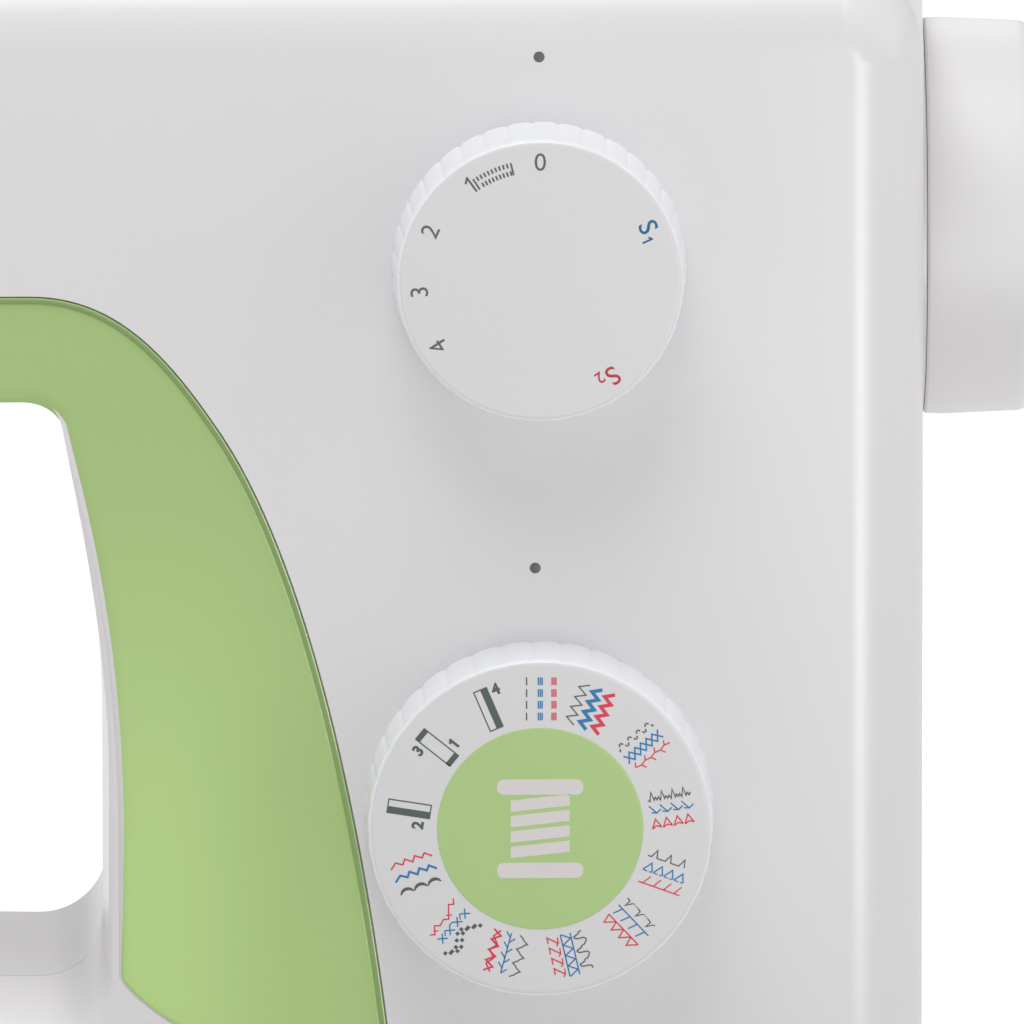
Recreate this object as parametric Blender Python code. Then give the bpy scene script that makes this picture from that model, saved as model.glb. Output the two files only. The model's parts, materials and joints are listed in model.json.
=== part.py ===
"""Household mechanical sewing machine, modelled as an assembly of separate pieces.

Frame: +X to the right (towards the handwheel), -Y to the front (the dials), +Z up.
The origin is the middle of the machine's bounding box, on the surface it stands on.
All sizes below are in millimetres; add_object() turns them into metres.
"""
import math

import bmesh
import bpy
from mathutils import Vector

MM = 0.001

# Body shells
BODY_RIGHT = 169.0
HEAD_COVER_LEFT = -172.3
FACE_LEFT = -190.5
FRONT = -58.0
REAR = 62.0
TOP = 285.0
COVER_BOTTOM = 20.4
BED_TOP = 78.0
BED_LEFT = -10.0
ARM_UNDER = 202.3
HEAD_UNDER = 155.0
HEAD_RIGHT = -105.0
TOP_CORNER = 17.0
EDGE_ROUND = 14.0
THROAT_ROUND = 2.0
UNDER_ROUND = 5.0
DRAFT = 1.0
WALL = 2.4
SEAM = 0.15
GAP = 0.3

# Throat: corner at the arm, then the sweep down the pillar to the bed
ARM_CORNER = [(-3.5, 202.3), (0.5, 202.3), (2.6, 200.5), (3.3, 196.5)]
PILLAR_SWEEP = [(3.3, 196.5), (5.2, 185.5), (11.7, 158.0), (11.8, 130.0)]
BED_FILLET = 12.0

# Green insert around the throat
INSERT_TOP = 223.0
INSERT_CORNER = [(-3.5, 202.4), (0.0, 202.4), (2.8, 200.8), (4.2, 198.0)]
INSERT_ARM_SWEEP = [(-2.0, 223.0), (14.0, 223.0), (24.0, 212.0), (34.5, 195.8)]
INSERT_PILLAR_SWEEP = [(34.5, 195.8), (51.0, 170.0), (61.0, 120.0), (66.0, 78.0)]
INSERT_INNER_SWEEP = [(4.2, 198.0), (6.8, 186.0), (14.9, 160.0), (14.9, 118.0)]
INSERT_TOE = [(14.9, 91.0), (18.0, 85.0), (34.0, 74.0), (52.0, 72.0)]
INSERT_TOE_RIGHT = 66.6
INSERT_LEFT = -92.0
INSERT_LEFT_ROUND = 12.0
INSERT_POCKET = 1.2
INSERT_SKIN = 0.8

# Shaft lines
SHAFT_Z = 226.7
SHAFT_R = 4.0
CRANK_THROW = 14.0
LINK_LENGTH = 24.0
NEEDLE_X = -143.0
PRESSER_Y = 14.0
HOOK_Z = 56.0
TAKE_UP_Y = -20.0
TAKE_UP_Z = 222.0
CAM_CENTRE = (58.0, SHAFT_Z - 26.6)
LAMP_CENTRE = (-162.0, 8.0)
LIFTER_CENTRE = (-126.0, 168.0)
LOWER_SHAFT_Y = 16.0
LOWER_SHAFT_Z = 50.0

# Handwheel
WHEEL_R = 38.0
WHEEL_LEFT = 169.6
WHEEL_RIGHT = 190.5

# Dials
DIAL_X = 94.7
LENGTH_DIAL_Z = 228.8
LENGTH_DIAL_R = 28.0
LENGTH_FACE_R = 27.2
PATTERN_DIAL_Z = 122.8
PATTERN_DIAL_R = 33.3
PATTERN_FACE_R = 32.7
DIAL_FRONT = -73.0
LENGTH_DIAL_FRONT = -72.0
CAP_R = 19.6
CAP_DEPTH = 1.2
TENSION_X = -128.0
TENSION_Z = 232.0
TENSION_R = 15.0
DIAL_HOLE_R = 4.6

# Slot that the take-up lever works in, and the reverse lever's height
TAKE_UP_SLOT_X = (-156.0, -149.5)
TAKE_UP_SLOT_Z = (194.0, 250.0)
REVERSE_Z = 48.0

# Carrying handle hinge line, power switch and socket, spool pin, bobbin winder
HANDLE_Y = 9.0
SWITCH_Z = 44.0
SOCKET_Y = 41.5
SPOOL_CENTRE = (84.0, 43.0)
WINDER_CENTRE = (116.7, 10.0)

# Base, free arm and extension table
BASE_BOTTOM = 5.0
BASE_TOP = 20.0
FREE_ARM_LEFT = -178.0
FREE_ARM_FRONT = -28.0
FREE_ARM_REAR = 50.0
FREE_ARM_BOTTOM = 34.0
TABLE_TOP = 77.7
FOOT_R = 9.0

# Motor and belt
MOTOR_Y = 22.0
MOTOR_Z = 66.0
MOTOR_R = 24.0
BELT_X0 = 156.0
BELT_X1 = 162.0
SHAFT_PULLEY_R = 30.0
MOTOR_PULLEY_R = 5.0
BELT_THICK = 2.0

WHITE = (0.84, 0.835, 0.84, 1.0)
GREEN = (0.40, 0.58, 0.25, 1.0)
STEEL = (0.62, 0.62, 0.63, 1.0)
CAST = (0.55, 0.56, 0.57, 1.0)
DARK = (0.05, 0.05, 0.055, 1.0)
RUBBER = (0.03, 0.03, 0.03, 1.0)
BRONZE = (0.62, 0.45, 0.22, 1.0)
LAMP = (0.95, 0.93, 0.85, 1.0)


# ---------------------------------------------------------------- helpers

def clear_scene():
    for obj in list(bpy.data.objects):
        bpy.data.objects.remove(obj, do_unlink=True)


def material(name, color, roughness, metallic=0.0):
    """One Principled material per look, shared by the pieces that have it."""
    found = bpy.data.materials.get(name)
    if found:
        return found
    made = bpy.data.materials.new(name)
    made.use_nodes = True
    shader = made.node_tree.nodes["Principled BSDF"]
    shader.inputs["Base Color"].default_value = color
    shader.inputs["Roughness"].default_value = roughness
    shader.inputs["Metallic"].default_value = metallic
    return made


def white():
    return material("white_shell", WHITE, 0.25)


def green():
    return material("green_shell", GREEN, 0.3)


def steel():
    return material("steel", STEEL, 0.3, 1.0)


def cast():
    return material("cast_metal", CAST, 0.6, 0.9)


def dark():
    return material("dark_plastic", DARK, 0.45)


def rubber():
    return material("rubber", RUBBER, 0.85)


def bronze():
    return material("bronze", BRONZE, 0.4, 1.0)


def lamp_glass():
    return material("lamp_glass", LAMP, 0.1)


def add_object(name, bm, look, pivot=(0.0, 0.0, 0.0)):
    """Turn a bmesh in millimetres into an object in metres with its origin at pivot."""
    bmesh.ops.recalc_face_normals(bm, faces=bm.faces)
    shift = Vector(pivot)
    for vert in bm.verts:
        vert.co = (vert.co - shift) * MM
    mesh = bpy.data.meshes.new(name)
    bm.to_mesh(mesh)
    bm.free()
    obj = bpy.data.objects.new(name, mesh)
    obj.location = shift * MM
    mesh.materials.append(look)
    bpy.context.scene.collection.objects.link(obj)
    mesh.shade_smooth()
    mesh.set_sharp_from_angle(angle=math.radians(35.0))
    return obj


def combine(target, tools, operation):
    """Boolean each tool shape into target, then drop the tool.

    The thin covers have a many-sided concave face that EXACT loses, so they use MANIFOLD.
    """
    solver = "MANIFOLD" if target.name.endswith("_cover") else "EXACT"
    for tool in tools:
        cutter = add_object("cutter", tool, target.data.materials[0])
        step = target.modifiers.new("cut", "BOOLEAN")
        step.operation = operation
        step.solver = solver
        step.object = cutter
        bpy.context.view_layer.update()
        graph = bpy.context.evaluated_depsgraph_get()
        result = bpy.data.meshes.new_from_object(target.evaluated_get(graph))
        target.modifiers.remove(step)
        old = target.data
        target.data = result
        result.name = target.name
        bpy.data.meshes.remove(old)
        bpy.data.objects.remove(cutter, do_unlink=True)
    target.data.shade_smooth()
    target.data.set_sharp_from_angle(angle=math.radians(35.0))
    return target


def cut(target, *tools):
    return combine(target, tools, "DIFFERENCE")


def join(target, *tools):
    return combine(target, tools, "UNION")


def place(axis, across, up, along):
    """Map profile coordinates (across, up) and a height along the axis to X, Y, Z."""
    if axis == "X":
        return (along, across, up)
    if axis == "Y":
        return (across, along, up)
    return (across, up, along)


def prism(outline, axis, low, high):
    """Extrude an outline between two heights; (x, z), (y, z) or (x, y) by axis."""
    bm = bmesh.new()
    lower = [bm.verts.new(place(axis, a, b, low)) for a, b in outline]
    upper = [bm.verts.new(place(axis, a, b, high)) for a, b in outline]
    bm.faces.new(lower)
    bm.faces.new(upper)
    count = len(outline)
    for i in range(count):
        j = (i + 1) % count
        bm.faces.new((lower[i], lower[j], upper[j], upper[i]))
    return bm


def box(x0, x1, y0, y1, z0, z1):
    return prism([(x0, y0), (x1, y0), (x1, y1), (x0, y1)], "Z", z0, z1)


def lathe(profile, axis, centre, segments, closed=False):
    """Turn (radius, height) points about an axis through centre.

    centre holds the two coordinates across the axis. A closed profile makes a ring.
    """
    bm = bmesh.new()
    rings = []
    for radius, along in profile:
        if radius == 0.0:
            rings.append([bm.verts.new(place(axis, centre[0], centre[1], along))])
            continue
        ring = []
        for k in range(segments):
            angle = 2.0 * math.pi * k / segments
            across = centre[0] + radius * math.cos(angle)
            up = centre[1] + radius * math.sin(angle)
            ring.append(bm.verts.new(place(axis, across, up, along)))
        rings.append(ring)
    pairs = list(zip(rings, rings[1:]))
    if closed:
        pairs.append((rings[-1], rings[0]))
    for first, second in pairs:
        for k in range(segments):
            n = (k + 1) % segments
            if len(first) == 1:
                bm.faces.new((first[0], second[k], second[n]))
            elif len(second) == 1:
                bm.faces.new((first[k], second[0], first[n]))
            else:
                bm.faces.new((first[k], second[k], second[n], first[n]))
    return bm


def rod(axis, centre, radius, low, high, segments=14):
    return lathe([(0.0, low), (radius, low), (radius, high), (0.0, high)], axis, centre, segments)


def ring(axis, centre, inner, outer, low, high, segments=20):
    profile = [(inner, low), (outer, low), (outer, high), (inner, high)]
    return lathe(profile, axis, centre, segments, closed=True)


def arc(centre, radius, start, end, steps):
    """Points on an arc, angles in degrees, both ends included."""
    points = []
    for k in range(steps + 1):
        angle = math.radians(start + (end - start) * k / steps)
        points.append((centre[0] + radius * math.cos(angle), centre[1] + radius * math.sin(angle)))
    return points


def bezier(controls, steps):
    """Points on a cubic curve, both ends included."""
    p0, p1, p2, p3 = (Vector(p) for p in controls)
    points = []
    for k in range(steps + 1):
        t = k / steps
        s = 1.0 - t
        point = p0 * s**3 + p1 * 3.0 * s * s * t + p2 * 3.0 * s * t * t + p3 * t**3
        points.append((point.x, point.y))
    return points


def rounded_rectangle(x0, x1, y0, y1, radius, steps=4):
    points = arc((x1 - radius, y0 + radius), radius, -90.0, 0.0, steps)
    points += arc((x1 - radius, y1 - radius), radius, 0.0, 90.0, steps)
    points += arc((x0 + radius, y1 - radius), radius, 90.0, 180.0, steps)
    points += arc((x0 + radius, y0 + radius), radius, 180.0, 270.0, steps)
    return points


# ---------------------------------------------------------------- body shells

def body_outline():
    """Outline of head, arm, pillar and bed root in X, Z, with each edge's rounding."""
    points = [(BED_LEFT, COVER_BOTTOM), (BODY_RIGHT, COVER_BOTTOM)]
    rounds = [0.0, EDGE_ROUND]
    corner = arc((BODY_RIGHT - TOP_CORNER, TOP - TOP_CORNER), TOP_CORNER, 0.0, 90.0, 8)
    points += corner
    rounds += [EDGE_ROUND] * len(corner)
    points += [(HEAD_COVER_LEFT, TOP), (HEAD_COVER_LEFT, HEAD_UNDER)]
    rounds += [0.0, UNDER_ROUND]
    corner = arc((HEAD_RIGHT - 9.0, HEAD_UNDER + 9.0), 9.0, -90.0, 0.0, 3)
    points += corner
    rounds += [UNDER_ROUND] * 2 + [THROAT_ROUND] * 2
    fillet = arc((HEAD_RIGHT + 18.0, ARM_UNDER - 18.0), 18.0, 180.0, 90.0, 6)
    points += fillet
    rounds += [THROAT_ROUND] * len(fillet)
    throat = bezier(ARM_CORNER, 5) + bezier(PILLAR_SWEEP, 8)[1:]
    centre = (PILLAR_SWEEP[3][0] - BED_FILLET, BED_TOP + BED_FILLET)
    throat += arc(centre, BED_FILLET, 0.0, -90.0, 6)
    points += throat
    rounds += [THROAT_ROUND] * len(throat)
    points.append((BED_LEFT, BED_TOP))
    rounds.append(0.0)
    return points, rounds


def edge_normals(points):
    """Outward normals of a counter-clockwise outline's edges."""
    normals = []
    count = len(points)
    for i in range(count):
        ax, az = points[i]
        bx, bz = points[(i + 1) % count]
        length = math.hypot(bx - ax, bz - az)
        normals.append(((bz - az) / length, -(bx - ax) / length))
    return normals


def inset_point(point, normal_a, inset_a, normal_b, inset_b):
    """Move a corner inwards by each of its two edges' own inset."""
    det = normal_a[0] * normal_b[1] - normal_a[1] * normal_b[0]
    if abs(det) < 0.35:
        mean_x = normal_a[0] + normal_b[0]
        mean_z = normal_a[1] + normal_b[1]
        length = math.hypot(mean_x, mean_z)
        inset = 0.5 * (inset_a + inset_b)
        return (point[0] - mean_x / length * inset, point[1] - mean_z / length * inset)
    dx = (-inset_a * normal_b[1] + inset_b * normal_a[1]) / det
    dz = (-inset_b * normal_a[0] + inset_a * normal_b[0]) / det
    return (point[0] + dx, point[1] + dz)


def shell_loop(bm, points, normals, rounds, face_y, turn, wall):
    """One loop of the shell: turn 0 is where the edge rounding starts, 90 the flat face."""
    side = -1.0 if face_y < 0.0 else 1.0
    verts = []
    count = len(points)
    for i in range(count):
        insets = []
        depths = []
        for edge in (i - 1, i):
            radius = max(rounds[edge] - wall, 0.4)
            if turn is None:
                insets.append(wall)
                depths.append(abs(face_y) - SEAM)
                continue
            draft = DRAFT if rounds[edge] > 0.0 else 0.0
            insets.append(wall + draft + radius * (1.0 - math.cos(turn)))
            depths.append(wall + radius * (1.0 - math.sin(turn)))
        x, z = inset_point(points[i], normals[i - 1], insets[0], normals[i], insets[1])
        y = face_y - side * 0.5 * (depths[0] + depths[1])
        verts.append(bm.verts.new((x, y, z)))
    return verts


def shell(face_y, steps=3):
    """Open-backed cover between the middle seam and a flat face at face_y."""
    points, rounds = body_outline()
    normals = edge_normals(points)
    turns = [None] + [math.pi * 0.5 * k / steps for k in range(steps + 1)]
    bm = bmesh.new()
    outer = [shell_loop(bm, points, normals, rounds, face_y, turn, 0.0) for turn in turns]
    inner = [shell_loop(bm, points, normals, rounds, face_y, turn, WALL) for turn in turns]
    loops = outer[::-1] + inner
    count = len(points)
    for first, second in zip(loops, loops[1:]):
        for i in range(count):
            j = (i + 1) % count
            bm.faces.new((first[i], first[j], second[j], second[i]))
    bm.faces.new(outer[-1])
    bm.faces.new(inner[-1])
    return bm


def insert_outline(grow):
    """Outline of the throat insert in X, Z; grow widens it for the seat in the cover."""
    points = [(INSERT_LEFT - grow, ARM_UNDER + 0.1 - grow)]
    points += [(x - 0.5 * grow, z - grow) for x, z in bezier(INSERT_CORNER, 5)]
    points += [(x - 0.8 * grow, z - grow) for x, z in bezier(INSERT_INNER_SWEEP, 8)[1:]]
    points += [(x - 0.8 * grow, z - grow) for x, z in bezier(INSERT_TOE, 5)]
    points.append((INSERT_TOE_RIGHT + grow, INSERT_TOE[3][1] - grow))
    points += [(x + grow, z + 0.5 * grow) for x, z in bezier(INSERT_PILLAR_SWEEP, 10)[::-1]]
    points += [(x + 0.5 * grow, z + grow) for x, z in bezier(INSERT_ARM_SWEEP, 8)[::-1][1:]]
    radius = INSERT_LEFT_ROUND
    left_corner = arc((INSERT_LEFT + radius, INSERT_TOP - radius), radius, 90.0, 180.0, 4)
    points += [(x, z + grow) for x, z in left_corner]
    return points


def build_front_cover():
    cover = add_object("front_cover", shell(FRONT), white())
    cut(cover, prism(insert_outline(0.4), "Y", FRONT - 5.0, FRONT + INSERT_POCKET))
    y0 = FRONT - 4.0
    y1 = FRONT + 6.0
    for x, z in ((DIAL_X, LENGTH_DIAL_Z), (DIAL_X, PATTERN_DIAL_Z), (TENSION_X, TENSION_Z)):
        cut(cover, rod("Y", (x, z), DIAL_HOLE_R, y0, y1))
    cut(cover, box(*TAKE_UP_SLOT_X, y0, y1, *TAKE_UP_SLOT_Z))
    cut(cover, box(DIAL_X - 11.2, DIAL_X + 11.2, y0, y1, REVERSE_Z - 11.5, REVERSE_Z + 5.0))
    cut_shared_windows(cover, -50.0, 5.0)
    return cover


def cut_shared_windows(cover, y0, y1):
    """Openings both covers have: head side, head underside, pillar floor, bed root."""
    cut(cover, box(HEAD_COVER_LEFT - 2.0, HEAD_COVER_LEFT + 4.0, y0, y1, 163.0, 274.0))
    cut(cover, box(-168.0, -115.0, y0 + 4.0, y1, HEAD_UNDER - 2.0, HEAD_UNDER + 4.0))
    cut(cover, box(0.0, 155.0, y0, y1, COVER_BOTTOM - 2.0, COVER_BOTTOM + 4.0))
    low = max(y0, FREE_ARM_FRONT + 4.0)
    high = min(y1, FREE_ARM_REAR - 4.0)
    cut(cover, box(BED_LEFT - 2.0, BED_LEFT + 4.0, low, high, FREE_ARM_BOTTOM + 3.0, BED_TOP - 6.0))


def build_rear_cover():
    cover = add_object("rear_cover", shell(REAR), white())
    cut_shared_windows(cover, -5.0, 52.0)
    cut(cover, rod("Y", LIFTER_CENTRE, 3.6, 50.0, 70.0))
    cut(cover, box(112.0, 129.0, 6.0, 14.0, TOP - 5.0, TOP + 3.0))
    cut(cover, rod("Z", SPOOL_CENTRE, 3.4, TOP - 6.0, TOP + 3.0))
    cut(cover, box(160.0, 172.0, 8.0, 24.0, SWITCH_Z - 11.6, SWITCH_Z + 11.6))
    cut(cover, box(160.0, 172.0, SOCKET_Y - 9.0, SOCKET_Y + 9.0, 38.0, 64.0))
    join_handle_hinges(cover)
    join(cover, rod("Z", (140.0, 10.0), 7.0, TOP - 2.0, TOP + 9.0, 24))
    return cover


def cut_shaft_hole(covers):
    """The main shaft leaves the pillar through the seam between the covers."""
    for cover in covers:
        cut(cover, rod("X", (0.0, SHAFT_Z), 12.0, 160.0, 175.0))


def build_face_cover():
    """Left end of the head: a shallow cap that swings open about its rear edge."""
    bm = bmesh.new()
    loops = [(HEAD_COVER_LEFT - GAP, 0.0)]
    steps = 4
    for k in range(steps + 1):
        turn = math.pi * 0.5 * k / steps
        inset = EDGE_ROUND * (1.0 - math.cos(turn))
        x = FACE_LEFT + EDGE_ROUND * (1.0 - math.sin(turn))
        loops.append((x, inset))
    rings = [face_loop(bm, x, inset) for x, inset in loops]
    inner = []
    for k, (x, inset) in enumerate(loops):
        inner.append(face_loop(bm, x + (WALL if k else 0.0), inset + WALL))
    every = rings[::-1] + inner
    for first, second in zip(every, every[1:]):
        for i in range(len(first)):
            j = (i + 1) % len(first)
            bm.faces.new((first[i], first[j], second[j], second[i]))
    bm.faces.new(rings[-1])
    bm.faces.new(inner[-1])
    pivot = (HEAD_COVER_LEFT, REAR, 0.0)
    return add_object("face_cover", bm, white(), pivot)


def face_loop(bm, x, inset):
    """Rounded rectangle in Y, Z that the end cap is lofted from."""
    low = HEAD_UNDER + min(inset, UNDER_ROUND)
    front = FRONT + DRAFT + inset
    rear = REAR - DRAFT - inset
    outline = rounded_rectangle(front, rear, low, TOP - inset, 6.0, 3)
    return [bm.verts.new((x, y, z)) for y, z in outline]


def build_insert():
    skin = prism(insert_outline(0.0), "Y", FRONT + 0.1, FRONT + 0.1 + INSERT_SKIN)
    return add_object("throat_insert", skin, green())


# ---------------------------------------------------------------- base, bed and table

def build_base():
    outline = rounded_rectangle(FACE_LEFT, BODY_RIGHT - 0.5, FRONT + 0.5, REAR - 0.5, 14.0)
    tray = add_object("base_tray", prism(outline, "Z", BASE_BOTTOM, BASE_TOP), white())
    hollow = rounded_rectangle(FACE_LEFT + 3.0, BODY_RIGHT - 3.5, FRONT + 3.5, REAR - 3.5, 11.0)
    cut(tray, prism(hollow, "Z", BASE_BOTTOM - 1.0, BASE_TOP - 3.0))
    number = 1
    for x in (FACE_LEFT + 22.0, BODY_RIGHT - 24.0):
        for y in (FRONT + 22.0, REAR - 22.0):
            top = BASE_TOP - 3.0 - GAP
            profile = [(0.0, 0.0), (FOOT_R - 1.0, 0.0), (FOOT_R, 1.0), (FOOT_R, top), (0.0, top)]
            add_object(f"rubber_foot_{number}", lathe(profile, "Z", (x, y), 16), rubber())
            number += 1


def build_free_arm():
    outline = rounded_rectangle(FREE_ARM_LEFT, BED_LEFT - GAP, FREE_ARM_FRONT, FREE_ARM_REAR, 5.0, 3)
    arm = add_object("free_arm_cover", prism(outline, "Z", FREE_ARM_BOTTOM, BED_TOP), white())
    y0 = FREE_ARM_FRONT + WALL
    y1 = FREE_ARM_REAR - WALL
    cut(arm, box(FREE_ARM_LEFT + WALL, BED_LEFT + 5.0, y0, y1, FREE_ARM_BOTTOM + WALL, BED_TOP - 2.6))
    cut(arm, box(-174.3, -111.7, -22.3, 42.3, BED_TOP - 4.0, BED_TOP + 2.0))
    cut(arm, box(-172.0, -118.0, FREE_ARM_FRONT - 2.0, FREE_ARM_FRONT + 4.0, 44.9, 67.4))
    door = rounded_rectangle(-174.0, -116.0, 44.4, 68.6, 3.0, 3)
    pivot = (0.0, FREE_ARM_FRONT - 1.6, 44.9)
    panel = prism(door, "Y", FREE_ARM_FRONT - 2.4, FREE_ARM_FRONT - GAP)
    panel = add_object("bobbin_door", panel, white(), pivot)
    return arm, panel


def build_needle_plate():
    outline = rounded_rectangle(-174.0, -112.0, -22.0, 42.0, 4.0, 3)
    plate = add_object("needle_plate", prism(outline, "Z", BED_TOP - 2.2, BED_TOP), steel())
    slot = rounded_rectangle(NEEDLE_X - 3.5, NEEDLE_X + 3.5, -1.2, 1.2, 1.1, 3)
    cut(plate, prism(slot, "Z", BED_TOP - 4.0, BED_TOP + 2.0))
    for x0, x1, y0, y1 in feed_rows():
        cut(plate, box(x0 - 0.6, x1 + 0.6, y0 - 2.8, y1 + 2.8, BED_TOP - 4.0, BED_TOP + 2.0))
    return plate


def feed_rows():
    """Footprints of the toothed bars of the feed dog."""
    return ((-152.0, -149.4, 1.5, 20.0), (-136.6, -134.0, 1.5, 20.0), (-145.0, -141.0, 9.0, 20.0))


def build_feed():
    top = BED_TOP - 0.5
    dog = add_object("feed_dog", box(-153.0, -133.0, 0.8, 21.0, 69.0, 72.0), steel())
    for x0, x1, y0, y1 in feed_rows():
        outline = [(y0, 71.5), (y1, 71.5)]
        teeth = 5
        pitch = (y1 - y0) / teeth
        for k in range(teeth):
            outline.append((y1 - pitch * k, top - 0.9))
            outline.append((y1 - pitch * (k + 0.25), top))
        outline.append((y0, top - 0.9))
        join(dog, prism(outline, "X", x0, x1))
    cut(dog, box(NEEDLE_X - 5.0, NEEDLE_X + 5.0, -3.0, 3.6, 60.0, 75.0))
    carrier = add_object("feed_bar", box(-149.0, -137.0, 5.0, 24.0, 64.9, 68.7), cast())
    join(carrier, box(-149.0, -20.0, 23.0, 29.6, 62.0, 68.7))
    return dog, carrier


def build_table():
    """Slide-off table: a hollow block that wraps the free arm and holds accessories."""
    outline = rounded_rectangle(FACE_LEFT, BED_LEFT - 0.5, FRONT, REAR, 6.0, 3)
    table = add_object("extension_table", prism(outline, "Z", BASE_TOP + 0.4, TABLE_TOP), white())
    cut(table, box(FREE_ARM_LEFT - 0.6, 5.0, FREE_ARM_FRONT - 3.0, FREE_ARM_REAR + 0.6, 0.0, 100.0))
    cut(table, box(FACE_LEFT + 2.6, BED_LEFT - 3.0, FRONT + 2.4, FREE_ARM_FRONT, 23.0, TABLE_TOP - 2.4))
    cut(table, box(FACE_LEFT + 2.6, BED_LEFT - 3.0, FREE_ARM_REAR - 2.0, REAR - 2.4, 23.0, TABLE_TOP - 2.4))
    return table


# ---------------------------------------------------------------- frame and drive

def build_casting():
    """Die-cast frame: arm beam, pillar and bed beam, with lugs for the shafts."""
    outline = [(-164.0, 156.0), (-120.0, 156.0), (-112.0, 206.0), (4.0, 206.0), (30.0, 198.0)]
    outline += [(40.0, 160.0), (48.0, 80.0), (20.0, 70.0), (-110.0, 70.0), (-110.0, 40.0)]
    outline += [(60.0, 40.0), (60.0, 24.0)]
    outline += [(90.0, 24.0), (90.0, 60.0), (84.0, 160.0), (96.0, 200.0), (146.0, 200.0), (146.0, 262.0)]
    outline += [(-164.0, 262.0)]
    casting = add_object("frame_casting", prism(outline, "Y", 32.0, 38.0), cast())
    for x in (-108.0, 138.0):
        join(casting, box(x, x + 8.0, -12.0, 33.0, SHAFT_Z - 13.0, SHAFT_Z + 13.0))
        cut(casting, rod("X", (0.0, SHAFT_Z), 8.3, x - 2.0, x + 10.0, 28))
    cut(casting, rod("Y", LIFTER_CENTRE, 3.8, 28.0, 42.0))
    for z in (158.0, 236.0):
        join(casting, box(NEEDLE_X - 8.0, NEEDLE_X + 8.0, PRESSER_Y - 6.6, 33.0, z, z + 8.0))
        cut(casting, rod("Z", (NEEDLE_X, PRESSER_Y), 3.8, z - 2.0, z + 10.0))
    for x in (-100.0, 20.0):
        y0 = LOWER_SHAFT_Y - 8.0
        join(casting, box(x, x + 8.0, y0, 33.0, LOWER_SHAFT_Z - 8.0, LOWER_SHAFT_Z + 8.0))
        cut(casting, rod("X", (LOWER_SHAFT_Y, LOWER_SHAFT_Z), 4.4, x - 2.0, x + 10.0))
    join(casting, rod("Y", CAM_CENTRE, 3.0, -16.0, 33.0))
    join(casting, box(-163.0, -158.0, TAKE_UP_Y - 6.0, 33.0, TAKE_UP_Z - 6.0, TAKE_UP_Z + 6.0))
    join(casting, rod("X", (TAKE_UP_Y, TAKE_UP_Z), 2.3, -160.0, -151.0, 14))
    join(casting, box(-164.0, -158.0, 14.0, 33.0, 184.0, 194.0))
    join(casting, ring("Z", LAMP_CENTRE, 4.3, 7.0, 178.0, 196.0, 20))
    return casting


def build_main_shaft():
    """Arm shaft with the worm that turns the cam stack."""
    profile = [(0.0, -126.0), (SHAFT_R, -126.0), (SHAFT_R, 50.0)]
    for k in range(4):
        start = 50.0 + 4.0 * k
        profile += [(5.5, start), (7.0, start + 1.2), (7.0, start + 2.6), (5.5, start + 3.8)]
    profile += [(SHAFT_R, 66.0), (SHAFT_R, 176.0), (0.0, 176.0)]
    add_object("main_shaft", lathe(profile, "X", (0.0, SHAFT_Z), 14), steel(), (0.0, 0.0, SHAFT_Z))
    for name, x in (("main_bush_left", -108.0), ("main_bush_right", 138.0)):
        add_object(name, ring("X", (0.0, SHAFT_Z), SHAFT_R + GAP, 8.0, x - 1.0, x + 9.0), bronze())


def build_crank():
    pivot = (0.0, 0.0, SHAFT_Z)
    disc = ring("X", (0.0, SHAFT_Z), SHAFT_R + GAP, 20.0, -124.0, -114.0, 24)
    crank = add_object("needle_crank", disc, cast(), pivot)
    cut(crank, box(-126.0, -112.0, -16.0, 16.0, SHAFT_Z + 21.0, SHAFT_Z + 30.0))
    top = SHAFT_Z + CRANK_THROW
    join(crank, rod("X", (0.0, top), 3.0, -133.5, -123.0))
    low = top - LINK_LENGTH
    outline = arc((0.0, top), 6.0, 0.0, 180.0, 6) + arc((0.0, low), 5.0, 180.0, 360.0, 6)
    link = add_object("crank_link", prism(outline, "X", -133.0, -129.0), steel(), (0.0, 0.0, top))
    cut(link, rod("X", (0.0, top), 3.0 + GAP, -136.0, -126.0))
    cut(link, rod("X", (0.0, low), 2.2, -136.0, -126.0))


def build_handwheel():
    rim = [(0.0, WHEEL_RIGHT), (WHEEL_R - 7.0, WHEEL_RIGHT), (WHEEL_R - 3.0, WHEEL_RIGHT - 0.8)]
    rim += [(WHEEL_R - 0.9, WHEEL_RIGHT - 2.6), (WHEEL_R, WHEEL_RIGHT - 5.0)]
    rim += [(WHEEL_R - 0.4, WHEEL_LEFT + 1.0), (WHEEL_R - 1.2, WHEEL_LEFT), (WHEEL_R - 4.0, WHEEL_LEFT)]
    rim += [(WHEEL_R - 4.0, WHEEL_RIGHT - 6.0)]
    rim += [(10.0, WHEEL_RIGHT - 6.0), (10.0, WHEEL_LEFT), (SHAFT_R + GAP, WHEEL_LEFT)]
    rim += [(SHAFT_R + GAP, WHEEL_RIGHT - 8.0), (0.0, WHEEL_RIGHT - 8.0)]
    add_object("handwheel", lathe(rim, "X", (0.0, SHAFT_Z), 36), white(), (0.0, 0.0, SHAFT_Z))
    flange = SHAFT_PULLEY_R + 2.5
    profile = [(SHAFT_R + GAP, BELT_X0 - 2.0), (flange, BELT_X0 - 2.0), (SHAFT_PULLEY_R, BELT_X0 - 0.5)]
    profile += [(SHAFT_PULLEY_R, BELT_X1 + 0.5), (flange, BELT_X1 + 2.0), (SHAFT_R + GAP, BELT_X1 + 2.0)]
    pulley = lathe(profile, "X", (0.0, SHAFT_Z), 28, closed=True)
    add_object("shaft_pulley", pulley, dark(), (0.0, 0.0, SHAFT_Z))


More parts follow.
